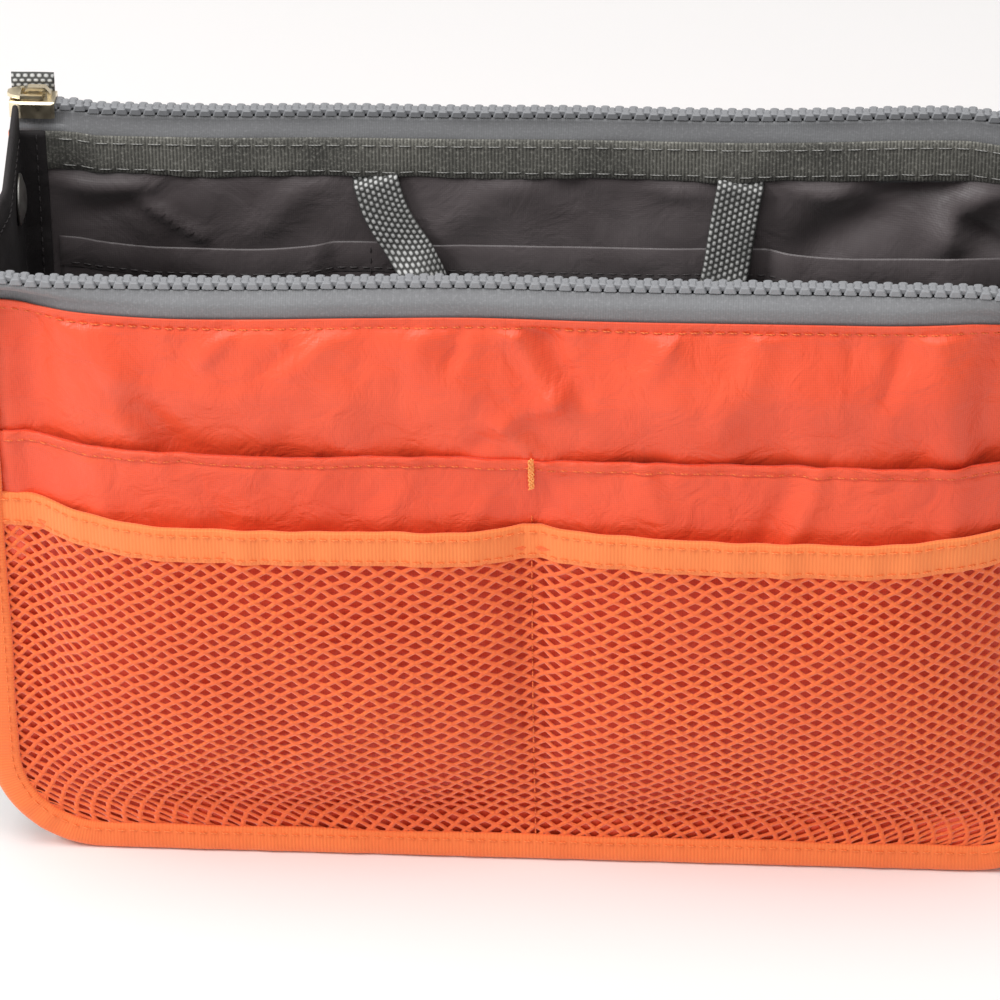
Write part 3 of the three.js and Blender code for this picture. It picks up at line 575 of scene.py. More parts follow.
@dataclass(frozen=True)
class RibbedTape(Finish):
    """Woven tape with ribs: grosgrain across its width, or a zip tape's fine ribs along its height."""

    rib: float = 0.9
    rib_depth: float = 0.07
    fleck: str = ""

    def dress(self, nodes: Nodes) -> None:
        """Adds the ribs with painted shade in their hollows, light flecks and fine threads across the ribs."""
        cloth = nodes.place("UV")
        ribs = nodes.bands(cloth, self.rib, "X", {"Distortion": 0.25, "Detail Scale": 0.4})
        # painted shade: the finish's dark colour fills the hollows between the ribs; it also tones the random
        # clouds
        colour = nodes.mixed(nodes.spread(ribs, 0.0, 0.55), linear(self.dark), self.clouded(nodes, cloth, 22.0))
        if self.fleck:
            share = nodes.spread(nodes.noise(cloth, 1 / 1.1, 3.0, Roughness=0.7), 0.5, 0.75, 0.0, 0.7)
            colour = nodes.mixed(share, colour, linear(self.fleck))
        low = nodes.bump(ribs, self.rib_depth, 0.8)
        nodes.shade({"Base Color": colour, "Normal": nodes.bump(nodes.bands(cloth, 0.5, "Y"), 0.02, 0.5, low),
                     "Sheen Weight": 0.2, "Sheen Roughness": 0.5})


@dataclass(frozen=True)
class KnittedNet(Finish):
    """Warp-knitted polyester net: fuzzy strands whose stitches catch the light."""

    stitch: float = 0.9

    def dress(self, nodes: Nodes) -> None:
        """Adds the knitted stitches along the strands, with painted shade in the hollows between them."""
        cloth = nodes.place("UV")
        stitches = nodes.add("TexVoronoi", {"Vector": cloth, "Scale": 1 / self.stitch}).outputs["Distance"]
        depth = nodes.spread(stitches, 0.1, 0.7, 1.0, 0.0)
        # painted shade: the dark colour fills the hollows between the stitches, where the relief is low; it also
        # tones the random clouds
        nodes.shade({"Base Color": nodes.mixed(depth, linear(self.dark), self.clouded(nodes, cloth, 35.0)),
                     "Normal": nodes.bump(depth, 0.12, 0.7), "Sheen Weight": 0.3})


@dataclass(frozen=True)
class SpeckledWebbing(Finish):
    """Herringbone webbing whose light floats stand out in rows on dark yarn."""

    across: float = 1.33
    along: float = 1.8

    def dress(self, nodes: Nodes) -> None:
        """Adds the rows of floats, each row moved half a step against the next."""
        cloth = nodes.place("UV")
        parts = nodes.add("SeparateXYZ", {0: cloth})
        column = nodes.reckon("DIVIDE", parts.outputs[0], self.across)
        shift = nodes.reckon("MULTIPLY", nodes.reckon("FLOOR", column), 0.5)
        row = nodes.reckon("ADD", nodes.reckon("DIVIDE", parts.outputs[1], self.along), shift)
        waves = [nodes.reckon("SINE", nodes.reckon("MULTIPLY", nodes.reckon("FRACT", value), math.pi))
                 for value in (column, row)]
        floats = nodes.reckon("MULTIPLY", *waves)
        yarn = self.clouded(nodes, cloth, 12.0, "#a6a6a4")
        nodes.shade({"Base Color": nodes.mixed(nodes.spread(floats, 0.32, 0.8), linear(self.dark), yarn),
                     "Normal": nodes.bump(floats, 0.3, 0.8)})


@dataclass(frozen=True)
class MouldedPlastic(Finish):
    """Injection-moulded acetal: even and waxy, with a faint grain from the mould."""

    grain: float = 0.4

    def dress(self, nodes: Nodes) -> None:
        """Adds the mould's grain."""
        grain = nodes.noise(nodes.place("Object"), self.grain * MM, 2.0)
        tone = nodes.spread(grain, 0.2, 0.8, 0.93, 1.05)
        colour = nodes.scaled(linear(self.colour)[:3], tone)
        nodes.shade({"Base Color": colour, "Normal": nodes.bump(grain, 0.03, 0.5), "Subsurface Weight": 0.05,
                     "Subsurface Radius": (MM, MM, MM)})


@dataclass(frozen=True)
class PlatedMetal(Finish):
    """Die-cast zinc or pressed steel with a bright plating, worn a little duller in patches."""

    duller: float = 0.15

    def dress(self, nodes: Nodes) -> None:
        """Adds the metal, its patches of wear and the plating's faint orange peel."""
        wear = nodes.noise(nodes.place("Object"), 3 * MM, 4.0)
        nodes.shade({"Metallic": 1.0, "Normal": nodes.bump(wear, 0.02, 0.4),
                     "Roughness": nodes.spread(wear, 0.35, 0.7, self.roughness, self.roughness + self.duller)})


@dataclass(frozen=True)
class SewingThread(Finish):
    """Spun polyester thread, two plies twisted together."""

    roughness: float = 0.6
    ior: float = 1.57

    def dress(self, nodes: Nodes) -> None:
        """Adds the twist as slanting bands, with painted shade in the grooves between the plies."""
        twist = nodes.bands(nodes.place("Object"), 0.5 * MM, "DIAGONAL")
        # painted shade: the dark colour fills the grooves between the two plies, where the twist's relief is low
        nodes.shade({"Base Color": nodes.mixed(twist, linear(self.dark), linear(self.colour)),
                     "Normal": nodes.bump(twist, 0.05, 0.6)})


@dataclass(frozen=True)
class StudioPaper(Finish):
    """Matt pale paper on the table and behind it."""

    def dress(self, nodes: Nodes) -> None:
        """Adds a tone that is barely uneven, as paper's is."""
        nodes.shade({"Base Color": self.clouded(nodes, nodes.place("Object"), 0.4, "#f6f4f3"),
                     "Specular IOR Level": 0.2})


def made(finish: Finish) -> bpy.types.Material:
    """Declares a field that holds one finish's material, made with the others."""
    return field(default_factory=finish.make)


@dataclass
class Finishes:
    """Every finish of the organizer, each made once."""

    # plain nylon, dyed red-orange: a smooth skin with a soft shine on every fold
    nylon: bpy.types.Material = made(Taffeta(
        "orange_nylon_taffeta", "#f2562e", 0.45, 1.53, "#e84c26", sheen=0.08, rumple_depth=0.6))
    # knitted polyester, a more yellow orange, dull and fuzzy
    net: bpy.types.Material = made(KnittedNet("orange_polyester_net", "#ff7a2c", 0.75, 1.57, "#ee6428"))
    # ribbed polyester tape on the net's band, the lightest orange on the object; the binding's copy of this tape
    # is darkened as painted shade
    grosgrain: bpy.types.Material = made(RibbedTape("orange_grosgrain_tape", "#fd8a42", 0.7, 1.57, "#f67f3a"))
    # the same tape round the pouch's edge and foot, its colour darkened as painted shade
    binding: bpy.types.Material = made(RibbedTape("orange_binding_tape", "#fb8038", 0.7, 1.57, "#f2722e"))
    # thin dark lining nylon, smoother and shinier than the outside; its colour is lightened as painted light,
    # above the gussets' copy of the same nylon
    lining: bpy.types.Material = made(Taffeta(
        "charcoal_nylon_lining", "#6c6465", 0.4, 1.53, "#504849", rumple=14.0, rumple_depth=0.5))
    # the same charcoal nylon, duller, in the gussets and the base; its colour is darkened as painted shade, below
    # the lining's copy
    gusset: bpy.types.Material = made(Taffeta(
        "charcoal_nylon_gusset", "#2c2728", 0.75, 1.53, "#221e1f", rumple=11.0, sheen=0.0))
    # coarse grey grosgrain with light yarn in it
    strip: bpy.types.Material = made(RibbedTape(
        "charcoal_grosgrain_tape", "#79776f", 0.75, 1.57, "#45443f", rib_depth=0.16, fleck="#b5b3aa"))
    # woven polyester zip tape with ribs along the teeth's height
    tape: bpy.types.Material = made(RibbedTape(
        "grey_zip_tape", "#7e7f81", 0.8, 1.57, "#757577", rib=0.6, rib_depth=0.03, fleck="#939395"))
    # polyester webbing, light grey floats on charcoal yarn
    webbing: bpy.types.Material = made(SpeckledWebbing("speckled_grey_webbing", "#dadad8", 0.8, 1.57, "#484846"))
    # acetal teeth and stops
    acetal: bpy.types.Material = made(MouldedPlastic("grey_acetal", "#8c8d90", 0.45, 1.48))
    # sliders and pulls of zinc with a pale gold plating
    gold: bpy.types.Material = made(PlatedMetal("pale_gold_plated_zinc", "#eee0c2", 0.27))
    # press studs of nickel-plated steel
    nickel: bpy.types.Material = made(PlatedMetal("satin_nickel_plated_steel", "#bcbab5", 0.32))
    # spun polyester sewing threads
    dark_thread: bpy.types.Material = made(SewingThread("charcoal_polyester_thread", "#4a4546", dark="#302c2c"))
    orange_thread: bpy.types.Material = made(SewingThread("orange_polyester_thread", "#f27a38", dark="#cf4f20"))
    pale_thread: bpy.types.Material = made(SewingThread("pale_orange_polyester_thread", "#fb8c48", dark="#e8702e"))
    grey_thread: bpy.types.Material = made(SewingThread("light_grey_polyester_thread", "#a9a8a4", dark="#787774"))
    bartack_thread: bpy.types.Material = made(
        SewingThread("yellow_orange_polyester_thread", "#ffae62", dark="#f08a3c"))


@dataclass(frozen=True)
class Crease:
    """A soft ridge or hollow in cloth along a straight run, from one place to another in the panel's plane."""

    start: tuple[float, float]
    finish: tuple[float, float]
    width: float
    height: float

    def field(self, x: Array, z: Array) -> Array:
        """Gives the height of the crease: a bell across its run, which sways a little and fades past its ends.

        Args:
            x: places along the panel.
            z: their heights.

        Returns:
            The height at each place.
        """
        a, b = np.array(self.start), np.array(self.finish)
        length = np.linalg.norm(b - a)
        run = (b - a) / length
        along = (x - a[0]) * run[0] + (z - a[1]) * run[1]
        across = (x - a[0]) * run[1] - (z - a[1]) * run[0] + 0.12 * self.width * np.sin(along / self.width)
        past = np.maximum(np.maximum(-along, along - length), 0)
        return self.height * np.exp(-((across / self.width) ** 2) - (past / (1.6 * self.width)) ** 2)


def creased(rows: tuple[tuple[float, ...], ...], x: Array, z: Array) -> Array:
    """Adds up creases, each given by its start, its finish, its width and its height."""
    return sum((Crease(row[:2], row[2:4], *row[4:]).field(x, z) for row in rows), np.zeros_like(x))


def ripples(x: Array, z: Array, size: float, seed: int) -> Array:
    """Gives the uneven slack of cloth: a sum of eight plane waves of random headings.

    Args:
        x: places along the cloth.
        z: places across it.
        size: length of a middling wave.
        seed: seed of the headings and phases.

    Returns:
        The slack at each place, from about -1 to 1.
    """
    rng = np.random.default_rng(seed)
    heading, phase = rng.uniform(0, np.pi, 8), rng.uniform(0, 2 * np.pi, 8)
    wave = 2 * np.pi / (size * rng.uniform(0.6, 1.8, 8))
    total = np.zeros_like(x)
    for k in range(8):
        total += np.sin(wave[k] * (x * np.cos(heading[k]) + z * np.sin(heading[k])) + phase[k])
    return total / 8 * 1.6


def puckers(along: Array, away: Array, pitch: float, reach: float, seed: int) -> Array:
    """Gives the small gathers at a seam: waves along it that fade out away from it.

    Args:
        along: places along the seam.
        away: distances from it.
        pitch: length of the shortest wave.
        reach: distance over which they fade.
        seed: seed of the phases.

    Returns:
        The gathers at each place, from -1 to 1.
    """
    rng = np.random.default_rng(seed)
    phase = rng.uniform(0, 2 * np.pi, 3)
    wave = sum(np.sin(2 * np.pi * along / (pitch * step) + phase[k]) for k, step in enumerate((1.0, 1.37, 2.3)))
    return wave / 3 * np.exp(-((away / reach) ** 2))


@dataclass(frozen=True)
class PouchForm:
    """Sizes and depths of a pouch, in its own frame: x along the zip, depth outwards from the inner face, z up."""

    side: Side
    half_length: float = 140.0
    corner: float = 29.0
    panel_top: float = 160.5
    edge_inset: float = 0.9
    lining_depth: float = 1.0
    outer_depth: float = 2.8
    slip_depth: float = 3.4
    net_depth: float = 4.0
    pouch_swell: float = 7.2
    slip_swell: float = 4.3
    net_swell: float = 7.8
    net_gap: float = 1.6
    slip_top: float = 124.0

    @property
    def inner_face(self) -> float:
        """Y of the pouch's inner face."""
        return -37.0 if self.side is Side.FRONT else 45.0

    def place(self, x: Array, depth: Array, z: Array) -> Array:
        """Turns the pouch's own coordinates to the shared frame; the rear pouch is turned half round.

        Args:
            x: places along the pouch.
            depth: distances outwards from its inner face.
            z: heights, to which the slack top edge's lift is added.

        Returns:
            Points in the shared frame.
        """
        s = self.side.value
        x, z = np.broadcast_arrays(x, z)
        rise = self.rise(s * x) * smooth_step(z, 112, 160)
        return np.stack([s * x, self.inner_face - s * depth, z + rise], axis=-1)

    def rise(self, x: Array) -> Array:
        """Gives the lift of the pouch's slack top edge, which is held level at both ends.

        Args:
            x: places along the shared frame's x.

        Returns:
            The lift at each place, as read off the photograph.
        """
        if self.side is Side.FRONT:
            knots = [-138, -128, -120, -98, -69, -40, -11, 17, 75, 104, 117, 123, 138]
            lift = [0, -0.4, -1.1, -1.0, -0.5, 0.6, 1.4, 1.1, 1.5, 1.6, 0.5, 0, 0]
        else:
            knots = [-138, -123, -116, -90, -58, -24, 10, 42, 74, 90, 104, 115, 121, 138]
            lift = [0, -0.2, -1.1, -1.1, -0.3, 0, 0.5, 0.5, 1.4, 2.2, 2.5, 1.2, 0, 0]
        return smooth_curve(x, knots, lift)

    @property
    def outward(self) -> Array:
        """Unit direction away from the pouch's inner face."""
        return np.array([0.0, -self.side.value, 0.0])

    def half_width(self, z: Array, inset: float, corner: float | None = None) -> Array:
        """Gives half the width of the pouch's round-cornered outline.

        Args:
            z: heights.
            inset: distance from the pouch's edge.
            corner: radius of the corner at the edge, if it isn't the pouch's own.

        Returns:
            Half the width at each height.
        """
        whole = self.corner if corner is None else corner
        radius = whole - inset
        drop = np.clip(whole - z, 0, radius)
        return self.half_length - whole + np.sqrt(radius**2 - drop**2)

    def rows(self, low: float, top: float, step: float, inset: float, seam: float | None = None) -> Array:
        """Gives the heights of a panel's rows, closer together round the bottom corners and at a seam.

        Args:
            low: the lowest.
            top: the highest.
            step: distance between rows on the straight part.
            inset: distance of the panel from the pouch's edge.
            seam: height of a stitched groove, if there is one.

        Returns:
            Rising heights.
        """
        arc = np.linspace(0, np.pi / 2, 18)
        radius = self.corner - inset
        corner = self.corner - radius * np.cos(arc)
        straight = np.linspace(self.corner, top, max(int((top - self.corner) / step), 2))[1:]
        heights = np.concatenate([corner, straight])
        heights = np.concatenate([[low], heights[heights > low + 0.2]])
        if seam is None:
            return heights
        close = seam + np.linspace(-2.1, 2.1, 9)
        close = close[close < top - 0.1]
        return np.unique(np.concatenate([heights[np.abs(heights - seam) > 2.6], close, [top]]))

    def height_share(self, z: Array) -> Array:
        """Share of a panel's swell at a height: none at the bottom binding, all above 75 mm."""
        return smooth_curve(z, [15, 29, 50, 75], [0, 0.45, 0.85, 1])

    def pouch_share(self, x: Array) -> Array:
        """Share of the outer panel's swell across the pouch."""
        return smooth_curve(np.abs(x) / 139.1, [0, 0.2, 0.5, 0.66, 0.8, 0.914, 1], [1, 1, 1, 0.95, 0.6, 0, 0])

    def pocket_share(self, x: Array) -> Array:
        """Share of a pocket's swell across the pouch: two lobes on either side of the centre seam."""
        return smooth_curve(np.abs(x) / 139.1, [0, 0.06, 0.2, 0.5, 0.66, 0.8, 0.914, 1],
                            [0, 0.5, 0.92, 1, 0.9, 0.5, 0, 0])

    def outer(self, x: Array, z: Array) -> Array:
        """Gives the depth of the outer panel's face, without its creases.

        Args:
            x: places along the pouch.
            z: heights.

        Returns:
            The depth: a wide swell, and a puff below the zip.
        """
        swell = self.pouch_swell * self.pouch_share(x) * self.height_share(z)
        puff = 3.6 * self.pouch_share(x) * smooth_step(z, 112, 140) * (1 - smooth_step(z, 139, 160))
        return self.outer_depth + 0.4 + swell + puff

    def slip(self, x: Array, z: Array) -> Array:
        """Gives the depth of the slip pocket's face, without its creases.

        Args:
            x: places along the pouch.
            z: heights.

        Returns:
            The depth: two lobes that lean back to the panel at the mouth.
        """
        swell = self.pouch_swell * self.pouch_share(x) * self.height_share(z)
        lean = 1 - 0.6 * smooth_step(z, 104, self.slip_top)
        face = self.slip_depth + 0.4 + swell + self.slip_swell * lean * self.pocket_share(x) * self.height_share(z)
        if self.side is Side.REAR:
            return face
        close = self.net(x, z) - self.net_gap  # what the pockets hold presses the cloth towards the net
        return face + np.maximum(close - face, 0) * (1 - smooth_step(z, 88, 104))

    def net(self, x: Array, z: Array) -> Array:
        """Gives the depth of the net's face.

        Args:
            x: places along the pouch.
            z: heights.

        Returns:
            The depth: two lobes that meet at the centre seam.
        """
        swell = self.pouch_swell * self.pouch_share(x) * self.height_share(z)
        share = np.maximum(self.pocket_share(x), 0.16 * np.exp(-((x / 12) ** 2)))
        return self.net_depth + 0.4 + swell + self.net_swell * share * self.height_share(z)

    def sheet(
        self, depth: Depth, top: float, step: float, inside: bool = False, seam: float | None = None
    ) -> Cloth:
        """Makes one panel on the pouch's outline.

        Args:
            depth: the face's depth.
            top: height of the upper edge.
            step: width of a cell of the mesh.
            inside: whether the panel faces the middle of the organizer.
            seam: height of a stitched groove that needs closer rows.

        Returns:
            Points, faces and flat places.
        """
        shares = np.linspace(-1, 1, int(2 * self.half_length / step) + 1)
        heights = self.rows(self.edge_inset, top, step, self.edge_inset, seam)
        share, z = grid(shares, heights)
        x = share * self.half_width(z, self.edge_inset)
        points = self.place(x, depth(x, z), z)
        return points, grid_faces(len(shares), len(heights), flip=inside), np.column_stack([x, z])

    def band(self, x: Array, depth: Array, z: Array, rings: int) -> Shape:
        """Makes a closed body through rings of places, which follow each other in three flat arrays."""
        return lofted(self.place(x, depth, z).reshape(rings, -1, 3))


@dataclass(frozen=True)
class Seam:
    """A row of lockstitches, each a short bowed length of thread."""

    pitch: float = 3.2
    stitch: float = 2.5
    thread: float = 0.42

    def sew(
        self, name: str, path: Array, normal: Array, finish: bpy.types.Material, body: str, slot: Slot,
        bend: Bend | None = None,
    ) -> None:
        """Lays stitches along a path on the cloth, all as one piece.

        Stitches stand at equal steps of arc length, and each points along the chord between its ends.

        Args:
            name: the piece's name.
            path: close points along the seam.
            normal: direction out of the cloth at each, or one for all.
            finish: the thread.
            body: body that the seam rides on.
            slot: slot of the cloth that it holds.
            bend: for a seam that crosses a joint, the other body and the points between which it bends.
        """
        normals = unit(np.broadcast_to(normal, path.shape).astype(float))
        length = walked(path)
        middle = np.arange(self.pitch / 2, length[-1] - self.stitch / 2, self.pitch)

        def read(rows: Array, at: Array) -> Array:
            """Reads a row of vectors at lengths along the seam."""
            return np.stack([np.interp(at, length, rows[:, k]) for k in range(3)], axis=1)

        run = unit(read(path, middle + self.stitch / 2) - read(path, middle - self.stitch / 2))
        out = read(normals, middle)
        out = unit(out - (out * run).sum(1, keepdims=True) * run)
        frames = np.stack([run, np.cross(out, run), out], axis=1)
        along = np.array([-0.5, -0.36, 0.0, 0.36, 0.5]) * self.stitch
        radius = np.array([0.3, 0.85, 1.0, 0.85, 0.3]) * self.thread / 2
        lift = np.array([-0.2, 0.28, 0.5, 0.28, -0.2]) * self.thread
        turn = np.arange(6) * np.pi / 3
        rings = np.stack([np.repeat(along[:, None], 6, 1), radius[:, None] * np.cos(turn),
                          lift[:, None] + radius[:, None] * np.sin(turn)], axis=-1)
        points, faces = repeated(lofted(rings), read(path, middle), frames)
        fasten(make_piece(name, points, faces, finish), body, slot, bend=bend)


@dataclass
class PouchCloth:
    """The nylon of one pouch: outer panel, slip pocket, lining and inner pocket, with their seams.

    Each crease is a row of its start's x and z, its finish's x and z, its width and its height.
    """

    form: PouchForm
    finishes: Finishes
    step: float = 1.8
    cloth: float = 0.5
    lining_cloth: float = 0.4
    pocket_cloth: float = 0.25
    bay_seam: float = 47.0
    pocket_top: float = 132.0
    pocket_foot: float = 22.0
    pocket_half: float = 128.0
    topstitch: float = 158.0
    hem_stitch: float = 121.9
    least_depth: float = 2.5  # keeps the outer panel clear of the inner zip tape
    front_creases: tuple[tuple[float, ...], ...] = (
        (-74, 157, -80, 150, 1.8, 0.8), (-52, 157, -67, 145, 2.4, -0.9), (-54, 153, -70, 142, 3.0, 0.7),
        (-98, 136, -90, 128, 4.5, -1.6), (-104, 150, -99, 132, 4.0, 0.9), (-17, 158, -19, 151, 1.6, -0.9),
        (-4, 156, 6, 141, 2.4, 1.3), (6, 141, -7, 133, 2.4, 1.3), (-7, 133, 3, 124, 2.2, 1.1),
        (1, 158, 11, 143, 2.6, -1.1), (-1, 136, -13, 128, 2.6, -0.9), (33, 155, 30, 149, 1.8, 0.7),
        (56, 158, 48, 138, 5.0, 0.8), (89, 154, 86, 143, 2.2, -0.8), (98, 156, 104, 128, 5.5, 1.2),
        (112, 156, 110, 120, 4.5, -1.4), (-122, 156, -118, 118, 4.5, -0.8), (-130, 150, -129, 90, 3.0, 0.6),
    )
    rear_creases: tuple[tuple[float, ...], ...] = (
        (-60, 150, -48, 128, 4, 0.9), (20, 156, 28, 136, 3.5, -0.8), (74, 152, 60, 134, 4, 0.8),
        (-8, 152, 3, 130, 3, 0.7),
    )
    slip_creases: tuple[tuple[float, ...], ...] = (
        (70, 121, 64, 104, 2.6, 0.9), (62, 119, 57, 103, 2.8, -0.7), (-30, 121, -36, 104, 3.2, 0.6),
        (-84, 120, -76, 106, 3.4, -0.7), (28, 120, 33, 106, 2.8, 0.6), (-108, 119, -104, 92, 3.6, 0.9),
        (104, 119, 101, 92, 3.6, 0.9), (8, 116, 14, 106, 2.2, 0.5), (-9, 117, -15, 106, 2.2, 0.5),
    )
    lining_creases: tuple[tuple[float, ...], ...] = (
        (-99, 153, -70, 135, 7.0, -4.2), (-112, 151, -102, 137, 5.0, 4.0), (-108, 139, -117, 134, 3.5, -4.0),
        (-66, 149, -84, 145, 3.5, 1.8), (-28, 149.5, -43, 147, 3.0, 1.4), (128, 150, 105, 147, 4.0, 1.6),
        (118, 140, 100, 146, 4.0, -1.8), (105, 142.6, 91, 132.7, 1.3, 1.9), (60, 150, 74, 138, 5.0, 1.5),
        (12, 148, 30, 134, 6.0, 1.1), (-4, 150, -16, 138, 4.5, -1.2),
    )

    @property
    def side(self) -> str:
        """Name that the pouch's pieces start with."""
        return self.form.side.label

    @property
    def body(self) -> str:
        """Name of the body that the cloth rides on."""
        return f"{self.side}_pouch"

    def outer_face(self, x: Array, z: Array) -> Array:
        """Gives the depth of the outer panel with creases, slack and the puckers under its topstitch.

        Args:
            x: places along the pouch.
            z: heights.

        Returns:
            The depth. Each stitch draws the cloth in, so the topstitch lies in a groove.
        """
        rows = self.front_creases if self.form.side is Side.FRONT else self.rear_creases
        calm = self.form.pouch_share(x) * (1 - smooth_step(z, 154, 160)) * (0.35 + 0.65 * smooth_step(z, 88, 122))
        slack = 2.0 * ripples(x, z, 46, 3) * calm + 0.5 * ripples(x, z, 15, 5) * calm
        gathers = 0.5 * puckers(x, z - 156.5, 9, 5.5, 11) * (1 - smooth_step(z, 157, 159))
        gathers -= (0.5 + 0.15 * np.sin(2 * np.pi * x / 3.1)) * np.exp(-(((z - self.topstitch) / 0.75) ** 2))
        folds = 1.8 * creased(rows, x, z) * (1 - smooth_step(z, 156, 159))
        return np.maximum(self.form.outer(x, z) + slack + gathers + folds, self.least_depth)

    def slip_face(self, x: Array, z: Array) -> Array:
        """Gives the depth of the slip pocket with its creases and the slack of its mouth.

        Args:
            x: places along the pouch.
            z: heights.

        Returns:
            The depth, always outside the panel and, on the front pouch, behind the net.
        """
        share = self.form.pocket_share(x)
        slack = (0.7 * ripples(x, z, 36, 17) + 0.25 * ripples(x, z, 13, 19)) * share
        hem = 0.4 * puckers(x, z - 120, 8, 4.5, 23) * share
        hem -= (0.4 + 0.12 * np.sin(2 * np.pi * x / 3.0)) * np.exp(-(((z - self.hem_stitch) / 0.75) ** 2))
        gape = smooth_curve(x, [-137, -118, -90, -62, -40, -20, 0, 12, 26, 42, 60, 80, 97, 112, 130],
                            [0.2, 1.2, 1.9, 1.9, 1.2, 0.6, 0.1, 1.5, 1.9, 1.0, 0.8, 1.8, 2.1, 1.5, 0.5])
        face = self.form.slip(x, z) + slack + hem + gape * smooth_step(z, 108, 123)
        face = face + 1.4 * creased(self.slip_creases, x, z)
        if self.form.side is Side.FRONT:
            face = np.minimum(face, np.where(z < 104, self.form.net(x, np.minimum(z, 97)) - 0.9, 99.0))
        return np.maximum(face, self.outer_face(x, z) + 0.55 + gape * smooth_step(z, 114, 123))

    def lining_face(self, x: Array, z: Array) -> Array:
        """Gives the depth of the lining, which sags a little towards the middle between its edges.

        Args:
            x: places along the pouch.
            z: heights.

        Returns:
            The depth, nearly flat where the handles hang.
        """
        edge = (1 - smooth_step(np.abs(x), 120, 136)) * smooth_step(z, 8, 26) * (1 - smooth_step(z, 148, 152))
        handles = 1 - 0.85 * np.exp(-((np.abs(x) - 48) / 12) ** 2)
        fold = 0.7 + 0.9 * ripples(x, z, 40, 29) + creased(self.lining_creases, x, z)
        return self.form.lining_depth - 0.15 - fold * edge * handles

    def pocket_face(self, x: Array, z: Array) -> Array:
        """Gives the depth of the inner pocket, whose bays swell between their seams and towards the mouth.

        Args:
            x: places along the pouch.
            z: heights.

        Returns:
            The depth, always nearer to the middle than the lining.
        """
        bay = smooth_curve(np.abs(x), [0, 10, 33, 40, 54, 62, 80, 100, 114, 128],
                           [1.2, 1.2, 0.9, 0, 0, 3.2, 5.2, 5.2, 3.2, 0])
        up = smooth_curve(z, [22, 31, 50, 88, 132], [0, 0.15, 0.75, 1, 1])
        slack = 0.3 * ripples(x, z, 26, 31) * (1 - smooth_step(np.abs(x), 116, 127))
        swell = bay * up + slack * up * smooth_step(np.abs(x), 55, 66)
        return np.minimum(0.75 - swell, self.lining_face(x, z) - 0.3)

    def stitch(self, seam: Seam, name: str, x: Array, depth: Array, z: Array, thread: bpy.types.Material,
               slot: Slot = Slot.NYLON, away: float = 1.0) -> None:
        """Sews a seam on the pouch.

        Args:
            seam: sizes of its stitches.
            name: the seam's name, without the pouch's.
            x: places along the pouch.
            depth: depth of the cloth there.
            z: heights.
            thread: the thread.
            slot: slot of the cloth.
            away: 1 on the outside, -1 on the side of the middle.
        """
        path, out = self.form.place(x, depth, z), away * self.form.outward
        seam.sew(f"{self.side}_{name}", path, out, thread, self.body, slot)

    def build_panels(self) -> None:
        """Builds the outer panel and its topstitch."""
        points, faces, flat = self.form.sheet(self.outer_face, self.form.panel_top, self.step, seam=self.topstitch)
        panel = make_piece(f"{self.side}_nylon_panel", points, faces, self.finishes.nylon, flat)
        thicken(panel, self.cloth)
        f"{self.side}_edge_binding"
        fasten(panel, self.body, Slot.NYLON, f"{self.side}_outer_panel")
        x = np.linspace(-137, 137, 400)
        z = np.full_like(x, self.topstitch)
        self.stitch(Seam(3.1, 2.4, 0.45), "panel_topstitch", x, self.outer_face(x, z), z,
                    self.finishes.orange_thread)

    def build_slip(self) -> None:
        """Builds the slip pocket, its folded hem, the centre seam and the bartack at its top."""
        top, orange = self.form.slip_top, self.finishes.orange_thread
        points, faces, flat = self.form.sheet(self.slip_face, top, self.step, seam=self.hem_stitch)
        pocket = make_piece(f"{self.side}_slip_panel", points, faces, self.finishes.nylon, flat)
        thicken(pocket, self.cloth)
        f"{self.side}_edge_binding"
        fasten(pocket, self.body, Slot.NYLON, f"{self.side}_slip_pocket")
        x = np.linspace(-131, 131, 330)
        points, faces, flat = self.slip_hem(x)
        hem = make_piece(f"{self.side}_slip_hem", points, faces, self.finishes.nylon, flat)
        fasten(hem, self.body, Slot.NYLON)
        z = np.full_like(x, self.hem_stitch)
        self.stitch(Seam(3.0, 2.3, 0.4), "slip_hem_stitch", x, self.slip_face(x, z) + 0.2, z, orange)
        z = np.linspace(top - 16, 6, 160)
        x = np.zeros_like(z)
        self.stitch(Seam(3.0, 2.3, 0.42), "slip_centre_stitch", x, self.slip_face(x, z), z, orange)
        z = np.linspace(top + 1.5, top - 8, 60)
        x = 0.55 * np.sin(np.linspace(0, 26 * np.pi, 60))
        self.stitch(Seam(0.62, 1.5, 0.5), "slip_bartack", x, self.slip_face(0 * z, z) + 0.7, z,
                    self.finishes.bartack_thread)

    def slip_hem(self, x: Array) -> Cloth:
        """Makes the slip pocket's folded hem: a flat closed band that rounds over the mouth.

        Args:
            x: places along the hem.

        Returns:
            Points, faces and flat places.
        """
        low, top, rise = self.hem_stitch - 0.6, self.form.slip_top + 0.4, 0.35
        heights = np.concatenate([[low], np.linspace(low + 0.5, top - 0.7, 5), [top - 0.15, top, top - 0.15],
                                  np.linspace(top - 0.7, low + 0.5, 3)])
        lift = np.concatenate([[0.05], np.full(5, rise), [0.75 * rise, -0.1, -0.95], np.full(3, -1.0)])
        where, k = grid(x, np.arange(len(heights)))
        depth = self.slip_face(where, np.minimum(heights[k], self.form.slip_top)) + lift[k]
        return *self.form.band(where, depth, heights[k], len(x)), np.column_stack([where, k * 1.6])

